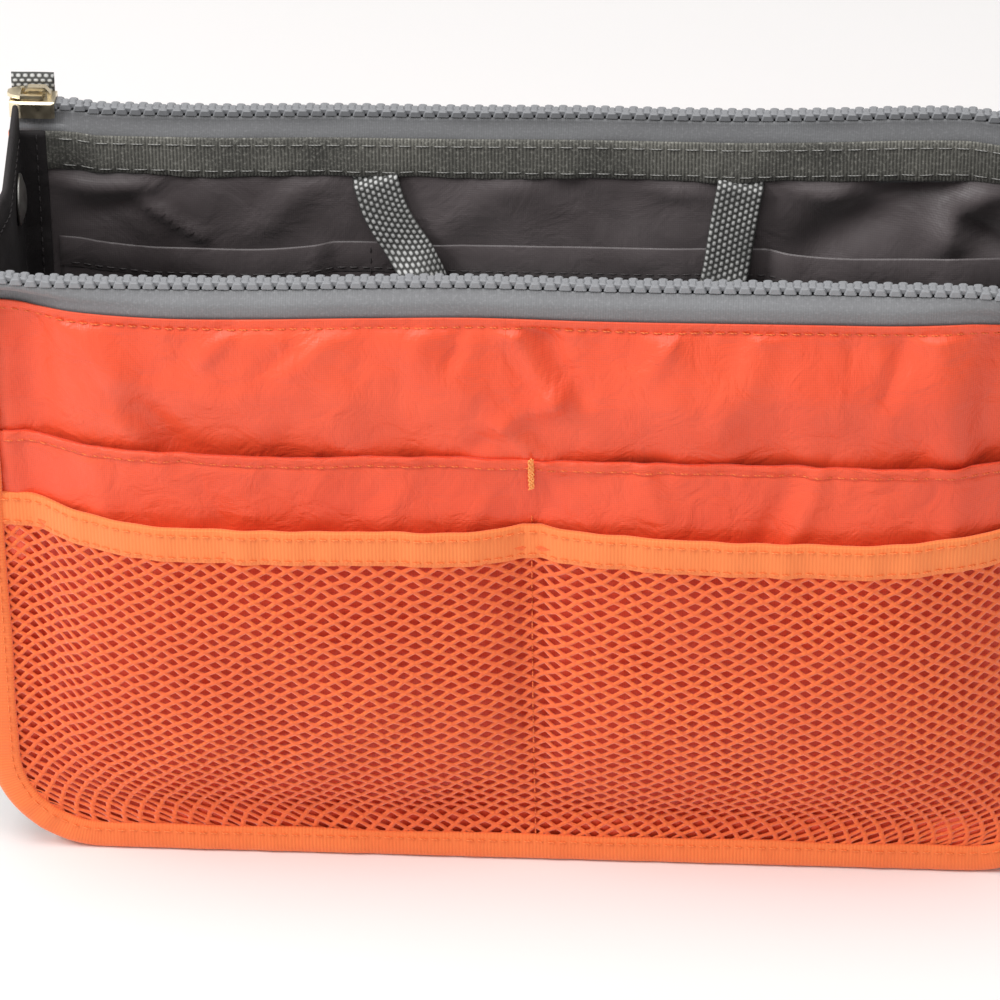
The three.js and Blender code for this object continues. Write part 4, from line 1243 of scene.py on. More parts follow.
    def inner_hem(self, x: Array) -> Cloth:
        """Makes the inner pocket's folded hem, a band of two cloths at its mouth.

        Args:
            x: places along the hem.

        Returns:
            Points, faces and flat places.
        """
        top, low = self.pocket_top + 0.15, self.pocket_top - 9
        heights = np.array([low, low + 0.5, (low + top) / 2, top - 0.6, top - 0.1, top - 0.1, top - 0.6,
                            low + 0.5])
        lift = np.array([0.0, -0.22, -0.22, -0.2, 0.05, 0.15, 0.2, 0.1])
        where, k = grid(x, np.arange(len(heights)))
        depth = self.pocket_face(where, np.minimum(heights[k], self.pocket_top)) + lift[k]
        return *self.form.band(where, depth, heights[k], len(x)), np.column_stack([where, heights[k]])

    def build_lining(self) -> None:
        """Builds the lining and, on it, the inner pocket with its hem and its two dividing seams."""
        lining, dark, half = self.finishes.lining, self.finishes.dark_thread, self.pocket_half
        points, faces, flat = self.form.sheet(self.lining_face, self.form.panel_top, self.step, inside=True)
        panel = make_piece(f"{self.side}_lining_panel", points, faces, lining, flat)
        thicken(panel, self.lining_cloth)
        f"{self.side}_edge_binding"
        fasten(panel, self.body, Slot.LINING, f"{self.side}_lining")
        columns, rows = 180, 70
        x, z = grid(np.linspace(-half, half, columns), np.linspace(self.pocket_foot, self.pocket_top, rows))
        points = self.form.place(x, self.pocket_face(x, z), z)
        faces = grid_faces(columns, rows, flip=True)
        pocket = make_piece(f"{self.side}_inner_pocket_panel", points, faces, lining, np.column_stack([x, z]))
        thicken(pocket, self.pocket_cloth)
        f"{self.side}_lining_panel"
        fasten(pocket, self.body, Slot.LINING, f"{self.side}_inner_pocket")
        x = np.linspace(-half, half, 260)
        points, faces, flat = self.inner_hem(x)
        fasten(make_piece(f"{self.side}_inner_pocket_hem", points, faces, lining, flat), self.body, Slot.LINING)
        z = np.full_like(x, self.pocket_top - 7.5)
        self.stitch(Seam(3.2, 2.4, 0.36), "inner_hem_stitch", x, self.pocket_face(x, z) - 0.2, z, dark,
                    Slot.LINING, -1.0)
        z = np.linspace(self.pocket_foot + 1, self.pocket_top, 150)
        for name, at in (("left", -self.bay_seam), ("right", self.bay_seam)):
            x = np.full_like(z, at)
            self.stitch(Seam(3.0, 2.3, 0.36), f"inner_seam_{name}", x, self.pocket_face(x, z) - 0.05, z, dark,
                        Slot.LINING, -1.0)

    def build(self) -> None:
        """Builds all cloth of the pouch."""
        self.build_panels()
        self.build_slip()
        self.build_lining()


@dataclass
class NetPocket:
    """The knitted net on the front pouch, its folded grosgrain band and their stitches."""

    form: PouchForm
    finishes: Finishes
    columns: int = 104
    rows: int = 54
    foot: float = 3.0
    top: float = 100.0
    inset: float = 3.0
    corner: float = 40.0
    hole_share: float = 0.815
    strand: float = 0.44
    band_low: float = 96.6
    band_top: float = 106.0

    def face(self, x: Array, z: Array) -> Array:
        """Gives the depth of the net.

        Args:
            x: places along the pouch.
            z: heights.

        Returns:
            The depth: the form's lobes with a little slack, held flat where the band grips it.
        """
        z = np.minimum(z, self.band_low + 0.5)
        slack = 0.5 * ripples(x, z, 36, 41) * self.form.pocket_share(x)
        hem = 0.5 * puckers(x, z - 96, 11, 9, 43) * self.form.pocket_share(x)
        return self.form.net(x, z) + slack + hem

    def lattice(self, i: Array, j: Array) -> Array:
        """Places the net's knots: even steps up it, and across it steps that narrow towards its sides.

        Args:
            i: number of the knot across the net.
            j: number of the knot up the net.

        Returns:
            x and z of each knot.
        """
        z = self.foot + (self.top - self.foot) * j / self.rows
        u = 2 * i / self.columns - 1
        share = u * (1.1 - 0.1 * u * u)
        free = (j > 0) * (j < self.rows)
        sway = 0.25 * np.sin(0.9 * i + 0.5 * j) * (1 - u**2) * free
        x = share * self.form.half_width(z, self.inset, self.corner) + sway
        return np.stack([x, z + 0.35 * np.sin(1.7 * i) * free], axis=-1)

    def shape(self) -> Cloth:
        """Makes the net's strands.

        Each diamond of the lattice becomes a ring of eight quads from the middle of its strands to
        the edge of its hole. The middle stands higher than the edge, so that the strands are round.

        Returns:
            Points, faces and flat places.
        """
        i, j = grid(np.arange(1, self.columns), np.arange(1, self.rows))
        odd = (i + j) % 2 == 1
        i, j = i[odd], j[odd]
        steps = np.array([[1, 0], [0, 1], [-1, 0], [0, -1]])
        corners = self.lattice(i[:, None] + steps[:, 0], j[:, None] + steps[:, 1])
        middles = (corners + np.roll(corners, -1, axis=1)) / 2
        rim = np.stack([corners, middles], axis=2).reshape(len(i), 8, 2)
        centre = rim.mean(axis=1, keepdims=True)
        share = np.array([0.8, 0.96, 0.9, 0.96] * 2)[None, :, None] * self.hole_share
        hole = centre + share * (rim - centre)
        flat = np.concatenate([rim.reshape(-1, 2), hole.reshape(-1, 2)])
        lift = np.concatenate([np.tile([0.3, 0.22] * 4, len(i)), np.full(8 * len(i), 0.0)])
        cell, k = grid(np.arange(len(i)), np.arange(8))
        step, shift = 8 * cell, 8 * len(i)
        ring = np.stack([step + k, step + (k + 1) % 8, step + (k + 1) % 8 + shift, step + k + shift], axis=1)
        edge, (triangles,) = self.border()
        faces = [ring[:, ::-1], triangles[:, ::-1] + len(flat)]
        flat = np.concatenate([flat, edge])
        lift = np.concatenate([lift, np.full(len(edge), 0.3)])
        keys, back = np.unique(np.round(flat, 3), axis=0, return_inverse=True)
        first = np.zeros(len(keys), int)
        first[back] = np.arange(len(flat))
        flat, lift = flat[first], lift[first]
        faces = [back.ravel()[g] for g in faces]
        points = self.form.place(flat[:, 0], self.face(flat[:, 0], flat[:, 1]) + lift, flat[:, 1])
        return points, faces, flat

    def border(self) -> Shape:
        """Makes the triangles that close the lattice along its four edges.

        Returns:
            Flat points and one group of faces.
        """
        corners = []
        edges = ((True, 0, 1), (True, self.rows, -1), (False, 0, 1), (False, self.columns, -1))
        for level, edge, away in edges:
            k = np.arange(1, self.columns if level else self.rows)
            k = k[(k + edge) % 2 == 1]
            step = 1 if level else -1
            knots = ((k - step, 0 * k + edge), (k + step, 0 * k + edge), (k, 0 * k + edge + away))
            three = [self.lattice(*(knot if level else knot[::-1])) for knot in knots]
            corners.append(np.stack(three[::away], axis=1))
        triangles = np.concatenate(corners)
        return triangles.reshape(-1, 2), [np.arange(3 * len(triangles)).reshape(-1, 3)]

    def build_band(self) -> None:
        """Builds the grosgrain band, folded over the net's upper edge, and its two rows of stitches."""
        x = np.linspace(-136, 136, 300)
        mid, half, wall = (self.band_low + self.band_top) / 2, (self.band_top - self.band_low) / 2, 0.95
        turn = np.array([-0.5, -0.3, 0.0, 0.3, 0.5]) * np.pi
        fold = 0.95 + 0.05 * np.cos(turn)
        rise, fall = np.linspace(-0.93, 0.93, 7), np.linspace(0.93, -0.93, 5)
        heights = mid + half * np.concatenate([rise, fold, fall, -fold])
        lift = np.concatenate([[wall * 0.82] + [wall] * 5 + [wall * 0.82], -wall * np.sin(turn) * 0.8,
                               [-0.5] * 5, wall * np.sin(turn) * 0.8])
        where, k = grid(x, np.arange(len(heights)))
        points, faces = self.form.band(where, *self.band_face(where, lift[k], heights[k]), len(x))
        flat = np.column_stack([where, heights[k]])
        band = make_piece("front_net_band", points, faces, self.finishes.grosgrain, flat)
        fasten(band, "front_pouch", Slot.GROSGRAIN, "front_net_pocket_binding")
        for name, height in (("lower", self.band_low + 1.5), ("upper", self.band_top - 1.7)):
            x = np.linspace(-133, 133, 400)
            path = self.form.place(x, *self.band_face(x, wall + 0.05, height))
            Seam(2.9, 2.2, 0.4).sew(f"front_net_band_stitch_{name}", path, self.form.outward,
                                    self.finishes.pale_thread, "front_pouch", Slot.GROSGRAIN)

    def band_face(self, x: Array, lift: Array | float, height: Array | float) -> tuple[Array, Array]:
        """Places the band, which sags and puckers a little.

        Args:
            x: places along the pouch.
            lift: distance outwards from the net's face.
            height: heights before it sags.

        Returns:
            Depths and heights.
        """
        z = height + 0.5 * ripples(x, 0 * x, 60, 47)
        grip = np.full_like(x, (self.band_low + self.band_top) / 2)
        return self.face(x, grip) + lift + 0.25 * puckers(x, z - self.band_low, 7, 4, 49), z

    def build(self) -> None:
        """Builds the net, its band and the centre seam."""
        points, faces, flat = self.shape()
        net = make_piece("front_net", points, faces, self.finishes.net, flat)
        thicken(net, self.strand)
        fasten(net, "front_pouch", Slot.NET, "front_net_pocket")
        self.build_band()
        z = np.linspace(self.band_low - 0.5, 6, 150)
        x = np.zeros_like(z)
        path = self.form.place(x, self.face(x, z) + 0.45, z)
        Seam(3.0, 2.3, 0.42).sew("front_net_centre_stitch", path, self.form.outward, self.finishes.orange_thread,
                                 "front_pouch", Slot.NET)


@dataclass
class EdgeBinding:
    """Grosgrain tape folded round the pouch's ends and foot, with one row of stitches on each face."""

    form: PouchForm
    finishes: Finishes
    width: float = 8.0
    top: float = 161.0
    step: float = 1.6

    @property
    def depth(self) -> float:
        """Depth of the tape's outer face."""
        return 5.8 if self.form.side is Side.FRONT else 4.9

    def outline(self) -> tuple[Array, Array, Array]:
        """Walks the pouch's outer edge from the left top, round the foot, to the right top.

        Returns:
            x and z of the edge, its inward direction in that plane, and the length walked.
        """
        half, radius = self.form.half_length, self.form.corner
        side, arc, foot = self.top - radius, radius * np.pi / 2, 2 * (half - radius)
        s = np.linspace(0, 2 * (side + arc) + foot, int((2 * (side + arc) + foot) / self.step))
        mirror = np.minimum(s, s[-1] - s)  # the right half repeats the left one
        angle = np.clip((mirror - side) / radius, 0, np.pi / 2)
        x = -half + radius * (1 - np.cos(angle)) + np.maximum(mirror - side - arc, 0)
        z = np.where(mirror < side, self.top - mirror, radius * (1 - np.sin(angle)))
        right = np.where(s > s[-1] / 2, -1, 1)
        inward = np.stack([np.cos(angle) * right, np.sin(angle)], axis=1)
        return np.stack([x * right, z], axis=1), inward, s

    def profile(self) -> Array:
        """Gives the tape's cross-section: its outer side folded round the edge, then its inner side back.

        Returns:
            Distance from the edge and depth of each corner.
        """
        w, d = self.width, self.depth
        outer_side = [
            (w, d - 0.75), (w - 0.25, d - 0.15), (w - 1.2, d + 0.05), (0.62 * w, d + 0.15), (0.4 * w, d + 0.2),
            (0.2 * w, d + 0.1), (0.7, d - 0.35), (0.12, d - 1.1), (0.0, d / 2), (0.12, 1.1), (0.7, 0.35),
            (0.2 * w, 0.0), (0.5 * w, -0.12), (w - 1.2, -0.05), (w - 0.25, 0.1), (w, 0.6),
        ]
        inner_side = [
            (w - 0.1, 0.75), (0.5 * w, 0.6), (1.4, 0.7), (0.75, d / 2), (1.4, d - 0.75), (0.5 * w, d - 0.7),
            (w - 0.1, d - 0.85),
        ]
        return np.array(outer_side + inner_side)

    def buckle(self, s: Array, inset: Array) -> Array:
        """Gives the tape's small buckles from the length walked and the distance from the edge."""
        return 0.3 * puckers(s, inset - 0.5 * self.width, 7.5, 4.5, 53) + 0.18 * ripples(s, inset, 22, 59)

    def build(self) -> None:
        """Builds the folded tape and its stitches."""
        edge, inward, s = self.outline()
        w, d, profile = self.width, self.depth, self.profile()
        i, k = grid(np.arange(len(s)), np.arange(len(profile)))
        inset, depth = profile[k, 0], profile[k, 1]
        face = np.where(depth > d / 2, 1.0, -1.0) * (inset > 0.5)
        corner = np.exp(-(((np.abs(edge[i, 0]) - 128) / 14) ** 2) - ((edge[i, 1] - 12) / 14) ** 2)
        depth = depth + face * self.buckle(s[i], inset) * (0.6 + 1.1 * corner)
        wander = 0.35 * ripples(s[i], 0 * inset, 30, 61) * (inset > 0.6 * w)
        flat = edge[i] + inward[i] * (inset + wander)[:, None]
        z = np.maximum(flat[:, 1], 0.0)
        side = self.form.side.label
        points, faces = self.form.band(flat[:, 0], depth, z, len(s))
        length = walked(profile)
        tape = make_piece(f"{side}_binding_tape", points, faces, self.finishes.binding,
                          np.column_stack([s[i], length[k]]))
        fasten(tape, f"{side}_pouch", Slot.GROSGRAIN, f"{side}_edge_binding")
        for name, away, at in (("outside", 1.0, d + 0.1), ("inside", -1.0, -0.1)):
            row = edge + inward * (w - 1.9)
            depth = at + away * self.buckle(s, np.full_like(s, w - 1.9))
            if name == "inside":  # the gusset's allowance covers the rest of this row
                row, depth = row[edge[:, 1] < 23], depth[edge[:, 1] < 23]
            Seam(3.0, 2.3, 0.4).sew(f"{side}_binding_stitch_{name}", self.form.place(row[:, 0], depth, row[:, 1]),
                                    away * self.form.outward, self.finishes.pale_thread, f"{side}_pouch",
                                    Slot.GROSGRAIN)


@dataclass
class Zip:
    """The zip along the top of one pouch: two tapes, two rows of moulded teeth, stops, tab, slider and pull."""

    form: PouchForm
    cloth: PouchCloth
    finishes: Finishes
    depth: float = 5.0
    tooth_top: float = 168.9
    tooth_height: float = 1.8
    pitch: float = 3.6
    chain_half: float = 2.3
    chain_end: float = 136.2
    tape_end: float = 138.0
    tape_foot: float = 150.0
    strip_low: float = 151.0
    strip_top: float = 162.2

    @property
    def name(self) -> str:
        """Name that the zip's nodes start with."""
        return f"{self.form.side.label}_zip"

    @property
    def body(self) -> str:
        """Name of the pouch's body."""
        return f"{self.form.side.label}_pouch"

    def tape(self, outer: bool) -> None:
        """Builds one tape, from its seam up over the shoulder to its bead.

        Args:
            outer: whether it is the tape on the outside of the pouch.
        """
        sign, label = (1, "outer") if outer else (-1, "inner")
        columns, rows = 300, 15
        where, t = grid(np.linspace(-self.tape_end, self.tape_end, columns), np.linspace(0, 1, rows))
        top = self.tooth_top - self.tooth_height - 0.1
        z = smooth_curve(t, [0, 0.42, 0.8, 1], [self.tape_foot, self.form.panel_top - 0.6, 164.6, top])
        bead = self.depth + sign * (self.chain_half - 0.3)
        if outer:
            panel = self.cloth.outer_face(where, np.minimum(z, self.form.panel_top - 1.0))
            seam = np.maximum(panel - 1.0 - 0.7 * (t < 0.4), 1.6)
        else:
            seam = np.full_like(where, 1.5)
        climb = smooth_step(t, 0.6 if outer else 0.38, 1.0)
        belly = 0.9 if outer else 0.15
        wave = 0.35 * ripples(where, 8 * t, 28, 67 + sign) * np.sin(np.pi * np.clip((t - 0.45) / 0.55, 0, 1))
        depth = seam + (bead - seam) * climb + sign * (belly * np.sin(np.pi * climb) + wave)
        tape = make_piece(f"{self.name}_{label}_tape_cloth", self.form.place(where, depth, z),
                          grid_faces(columns, rows, flip=not outer), self.finishes.tape,
                          np.column_stack([where, 16 * t]))
        thicken(tape, 0.45)
        fasten(tape, self.body, Slot.TAPE, f"{self.name}_{label}_tape")

    def tooth(self) -> Shape:
        """Makes one moulded tooth.

        Returns:
            A foot on the tape's bead, narrower at its top, a nose across the chain, and a wider knob at its end.
        """
        parts = (((3.3, 1.5, 1.8), 0.25, 0.58, (0, self.chain_half - 0.75, -0.05)),
                 ((2.1, 2.8, 1.65), 0.35, 0.8, (0, 0.45, 0.05)), ((2.6, 1.4, 1.7), 0.35, 0.75, (0, -0.6, 0.05)))
        blocks = [(block(size, edge, narrowing), place) for size, edge, narrowing, place in parts]
        return joined(*((points + np.array(place), faces) for (points, faces), place in blocks))

    def teeth(self, outer: bool) -> None:
        """Builds one row of teeth; the two rows stand half a pitch apart.

        Args:
            outer: whether it is the row on the outside of the pouch.
        """
        sign, label = (1, "outer") if outer else (-1, "inner")
        count = int(2 * self.chain_end / self.pitch)
        x = (np.arange(count) - (count - 1) / 2) * self.pitch + sign * self.pitch / 4
        depth = self.depth + 0.12 * ripples(x, 0 * x, 40, 71)
        places = self.form.place(x, depth, np.full_like(x, self.tooth_top - self.tooth_height / 2))
        along = [self.form.side.value, 0.0, 0.0]
        axes = np.stack([along, sign * self.form.outward, [0.0, 0.0, 1.0]])
        points, faces = repeated(self.tooth(), places, np.broadcast_to(axes, (count, 3, 3)))
        row = make_piece(f"{self.name}_{label}_tooth_row", points, facing_out(points, faces),
                         self.finishes.acetal, smooth=False)
        fasten(row, self.body, Slot.ACETAL, f"{self.name}_{label}_teeth")

    def tab(self) -> None:
        """Builds the tab at the closed end: webbing folded over into a small loop."""
        x = np.linspace(128.6, 139.6, 14)
        low, top = 161.2, 174.3
        turn = np.linspace(-np.pi / 2, np.pi / 2, 7)
        heights = np.concatenate([np.linspace(low, top - 1.2, 8), top - 1.2 + 1.2 * np.cos(turn),
                                  np.linspace(top - 1.2, low, 8)])
        lift = np.concatenate([np.full(8, -0.7), 0.7 * np.sin(turn), np.full(8, 0.7)])
        where, k = grid(x, np.arange(len(heights)))
        beside = self.depth + self.chain_half + 2.4
        lean = smooth_curve(heights[k], [low, 165.5, top], [beside - 0.2, beside, beside + 0.1])
        depth = lean + lift[k] + 0.15 * ripples(where, heights[k], 14, 73)
        points, faces = self.form.band(where, depth, heights[k], len(x))
        piece = make_piece(f"{self.name}_woven_tab", points, faces, self.finishes.webbing,
                           np.column_stack([heights[k], where]))
        fasten(piece, self.body, Slot.WEBBING, f"{self.name}_end_tab")

    def strip_out(self, x: Array, z: Array) -> Array:
        """Gives how far the strip stands out where it covers the handle's two sewn ends.

        Args:
            x: places along the pouch.
            z: heights.

        Returns:
            The distance towards the middle at each place.
        """
        ends = sum(smooth_step(x, at - 11, at - 6.4) * (1 - smooth_step(x, at + 6.4, at + 11))
                   for at in (46.2, -49.0))
        return 0.35 * ends * (1 - smooth_step(z, 156.5, 161))

    def strip_wave(self, x: Array, up: Array) -> Array:
        """Gives the puckers of the strip from the height above its lower edge: they end 6 mm above it."""
        return np.abs(0.7 * puckers(x, up, 13, 5, 79) * smooth_step(6 - up, 0, 5))

    def strip(self) -> None:
        """Builds the grosgrain strip over the inner tape's seam, with a wavy edge and two rows of stitches."""
        x = np.linspace(-131.5, 131.5, 260)
        low, top, side = self.strip_low, self.strip_top, self.form.side.label
        heights = np.array([low, low + 0.5, low + 3, low + 6, low + 9, top - 0.4, top, top - 0.4, low + 6,
                            low + 0.5])
        lift = np.array([0.0, 0.5, 0.65, 0.7, 0.65, 0.55, 0.2, -0.1, -0.1, -0.1])
        where, k = grid(x, np.arange(len(heights)))
        up = heights[k] - low
        z = heights[k] + 0.6 * ripples(where, 0 * where, 26, 83) * smooth_step(6 - up, 0, 5)
        depth = 0.75 - lift[k] - self.strip_wave(where, up) - self.strip_out(where, z)
        points, faces = self.form.band(where, depth, z, len(x))
        piece = make_piece(f"{side}_seam_strip", points, faces, self.finishes.strip,
                           np.column_stack([where, heights[k]]))
        fasten(piece, self.body, Slot.STRIP, f"{side}_cover_strip")
        for name, height in (("lower", low + 1.9), ("upper", top - 2.0)):
            x = np.linspace(-130, 130, 400)
            z = np.full_like(x, height)
            depth = 0.05 - self.strip_wave(x, z - low) - self.strip_out(x, z)
            Seam(4.6, 3.6, 0.34).sew(f"{side}_strip_stitch_{name}", self.form.place(x, depth, z),
                                     -self.form.outward, self.finishes.grey_thread, self.body, Slot.STRIP)

    def metal(self) -> None:
        """Gives the slider, the pull and the stops, whose CAD shapes stay, their finishes."""
        gold, acetal = self.finishes.gold, self.finishes.acetal
        for part, finish in (("slider", gold), ("pull", gold), ("top_stop", acetal), ("bottom_stop", acetal)):
            materials = bpy.data.objects[f"{self.name}_{part}"].data.materials
            materials.clear()
            materials.append(finish)

    def build(self) -> None:
        """Builds the whole zip."""
        for outer in (True, False):
            self.tape(outer)
            self.teeth(outer)
        self.tab()
        self.strip()
        self.metal()


@dataclass
class Handle:
    """Webbing carried along a hanging loop, flat at its roots and edge-on at the bottom of the loop."""

    form: PouchForm
    finishes: Finishes
    width: float = 12.0
    thickness: float = 1.5
    leg: float = 47.0
    root: float = 150.2
    drop: float = 46.0
    stand_off: float = 0.5
    lean: float = 2.8
    path_shares: tuple[tuple[float, float], ...] = (
        (0.96, 0), (0.91, 0.17), (0.82, 0.34), (0.7, 0.5), (0.5, 0.72), (0.25, 0.76), (-0.05, 0.82),
        (-0.38, 0.89), (-0.68, 0.92), (-0.88, 0.79), (-0.95, 0.54), (-0.99, 0.26), (-1.03, 0),
    )

    def path(self, t: Array) -> tuple[Array, Array]:
        """Reads the loop and its heading with a centripetal Catmull-Rom curve through the path shares.

        Between two points the curve is a cubic Hermite arc whose end slopes weigh the three chords
        by the square roots of their lengths.

        Args:
            t: place along the loop from 0 to 1, by even steps from point to point.

        Returns:
            x and z, and the slope there.
        """
        shares = np.array(self.path_shares)
        knots = np.column_stack([shares[:, 0] * self.leg, self.root - shares[:, 1] * self.drop])
        knots = np.concatenate([[2 * knots[0] - knots[1]], knots, [2 * knots[-1] - knots[-2]]])
        place = np.clip(t, 0, 1) * (len(shares) - 1)
        k = np.minimum(place.astype(int), len(shares) - 2)
        w = (place - k)[:, None]
        p = [knots[k + n] for n in range(4)]
        root = [np.sqrt(np.linalg.norm(p[n + 1] - p[n], axis=1))[:, None] for n in range(3)]
        slope_in = (p[1] - p[0]) / root[0] - (p[2] - p[0]) / (root[0] + root[1]) + (p[2] - p[1]) / root[1]
        slope_out = (p[2] - p[1]) / root[1] - (p[3] - p[1]) / (root[1] + root[2]) + (p[3] - p[2]) / root[2]
        a, b = slope_in * root[1], slope_out * root[1]
        turn = -3 * p[1] + 3 * p[2] - 2 * a - b
        bend = 2 * p[1] - 2 * p[2] + a + b
        return p[1] + a * w + turn * w**2 + bend * w**3, a + 2 * turn * w + 3 * bend * w**2

    def profile(self) -> Array:
        """Gives the webbing's cross-section, anticlockwise: two flat sides and two round edges.

        Returns:
            Place across the webbing and through it of each corner.
        """
        wall = self.thickness / 2
        flat_half, edge = self.width / 2 - wall, np.linspace(-np.pi / 2, np.pi / 2, 5)
        columns = np.linspace(-1, 1, 9) * flat_half
        lower = np.column_stack([columns, np.full(9, -wall)])
        right = np.column_stack([flat_half + wall * np.cos(edge), wall * np.sin(edge)])[1:-1]
        return np.concatenate([lower, right, -lower, -right])

    def build(self) -> None:
        """Builds the webbing, which bends where it comes out from under the cover strip."""
        t = np.linspace(0, 1, 150)
        place, slope = self.path(t)
        run = unit(np.column_stack([slope[:, 0], 0 * t, slope[:, 1]]))
        turn = np.pi / 2 * smooth_step(t, 0.16, 0.36) * (1 - smooth_step(t, 0.62, 0.86))
        across = np.column_stack([-run[:, 2] * np.cos(turn), np.sin(turn), run[:, 0] * np.cos(turn)])
        hang = -(self.stand_off + self.thickness / 2)
        depth = hang - self.lean * np.sin(np.pi * t) - self.width / 2 * np.sin(turn)
        # the cover strip holds both ends: they carry the legs on upwards, behind the strip
        tail = np.array([0.5, 1.0, 1.5, 2.0, 3.0, 4.2, 5.4])
        tucked = hang + 2.35 * smooth_step(tail, 0, 1.5)
        first, last = tail[::-1, None], tail[:, None]
        place = np.concatenate([place[:1] - first * run[:1, [0, 2]], place, place[-1:] + last * run[-1:, [0, 2]]])
        depth = np.concatenate([tucked[::-1], depth, tucked])
        longer = ((len(tail), len(tail)), (0, 0))
        run, across = np.pad(run, longer, "edge"), np.pad(across, longer, "edge")
        through = unit(np.cross(run, across))
        half, profile = self.width / 2, self.profile()
        # the pouch's own frame has y inwards, so depth outwards is its negative
        centre = np.column_stack([place[:, 0], -depth, place[:, 1]])
        local, faces = swept(centre, across, through, profile)
        points = self.form.place(local[:, 0], -local[:, 1], local[:, 2])
        length = walked(np.column_stack([place, depth]))
        i, k = grid(np.arange(len(place)), np.arange(len(profile)))
        flat = np.column_stack([profile[k, 0] + half + 0.1, length[i]])
        side = self.form.side.label
        strap = make_piece(f"{side}_handle_webbing", points, facing_out(points, faces), self.finishes.webbing,
                           flat)
        hinge = self.form.place(np.zeros(2), np.full(2, -self.stand_off), np.array([151.4, 149.4])) * MM
        fasten(strap, f"{side}_pouch", Slot.WEBBING, f"{side}_handle", bend=(f"{side}_handle_body", *hinge))


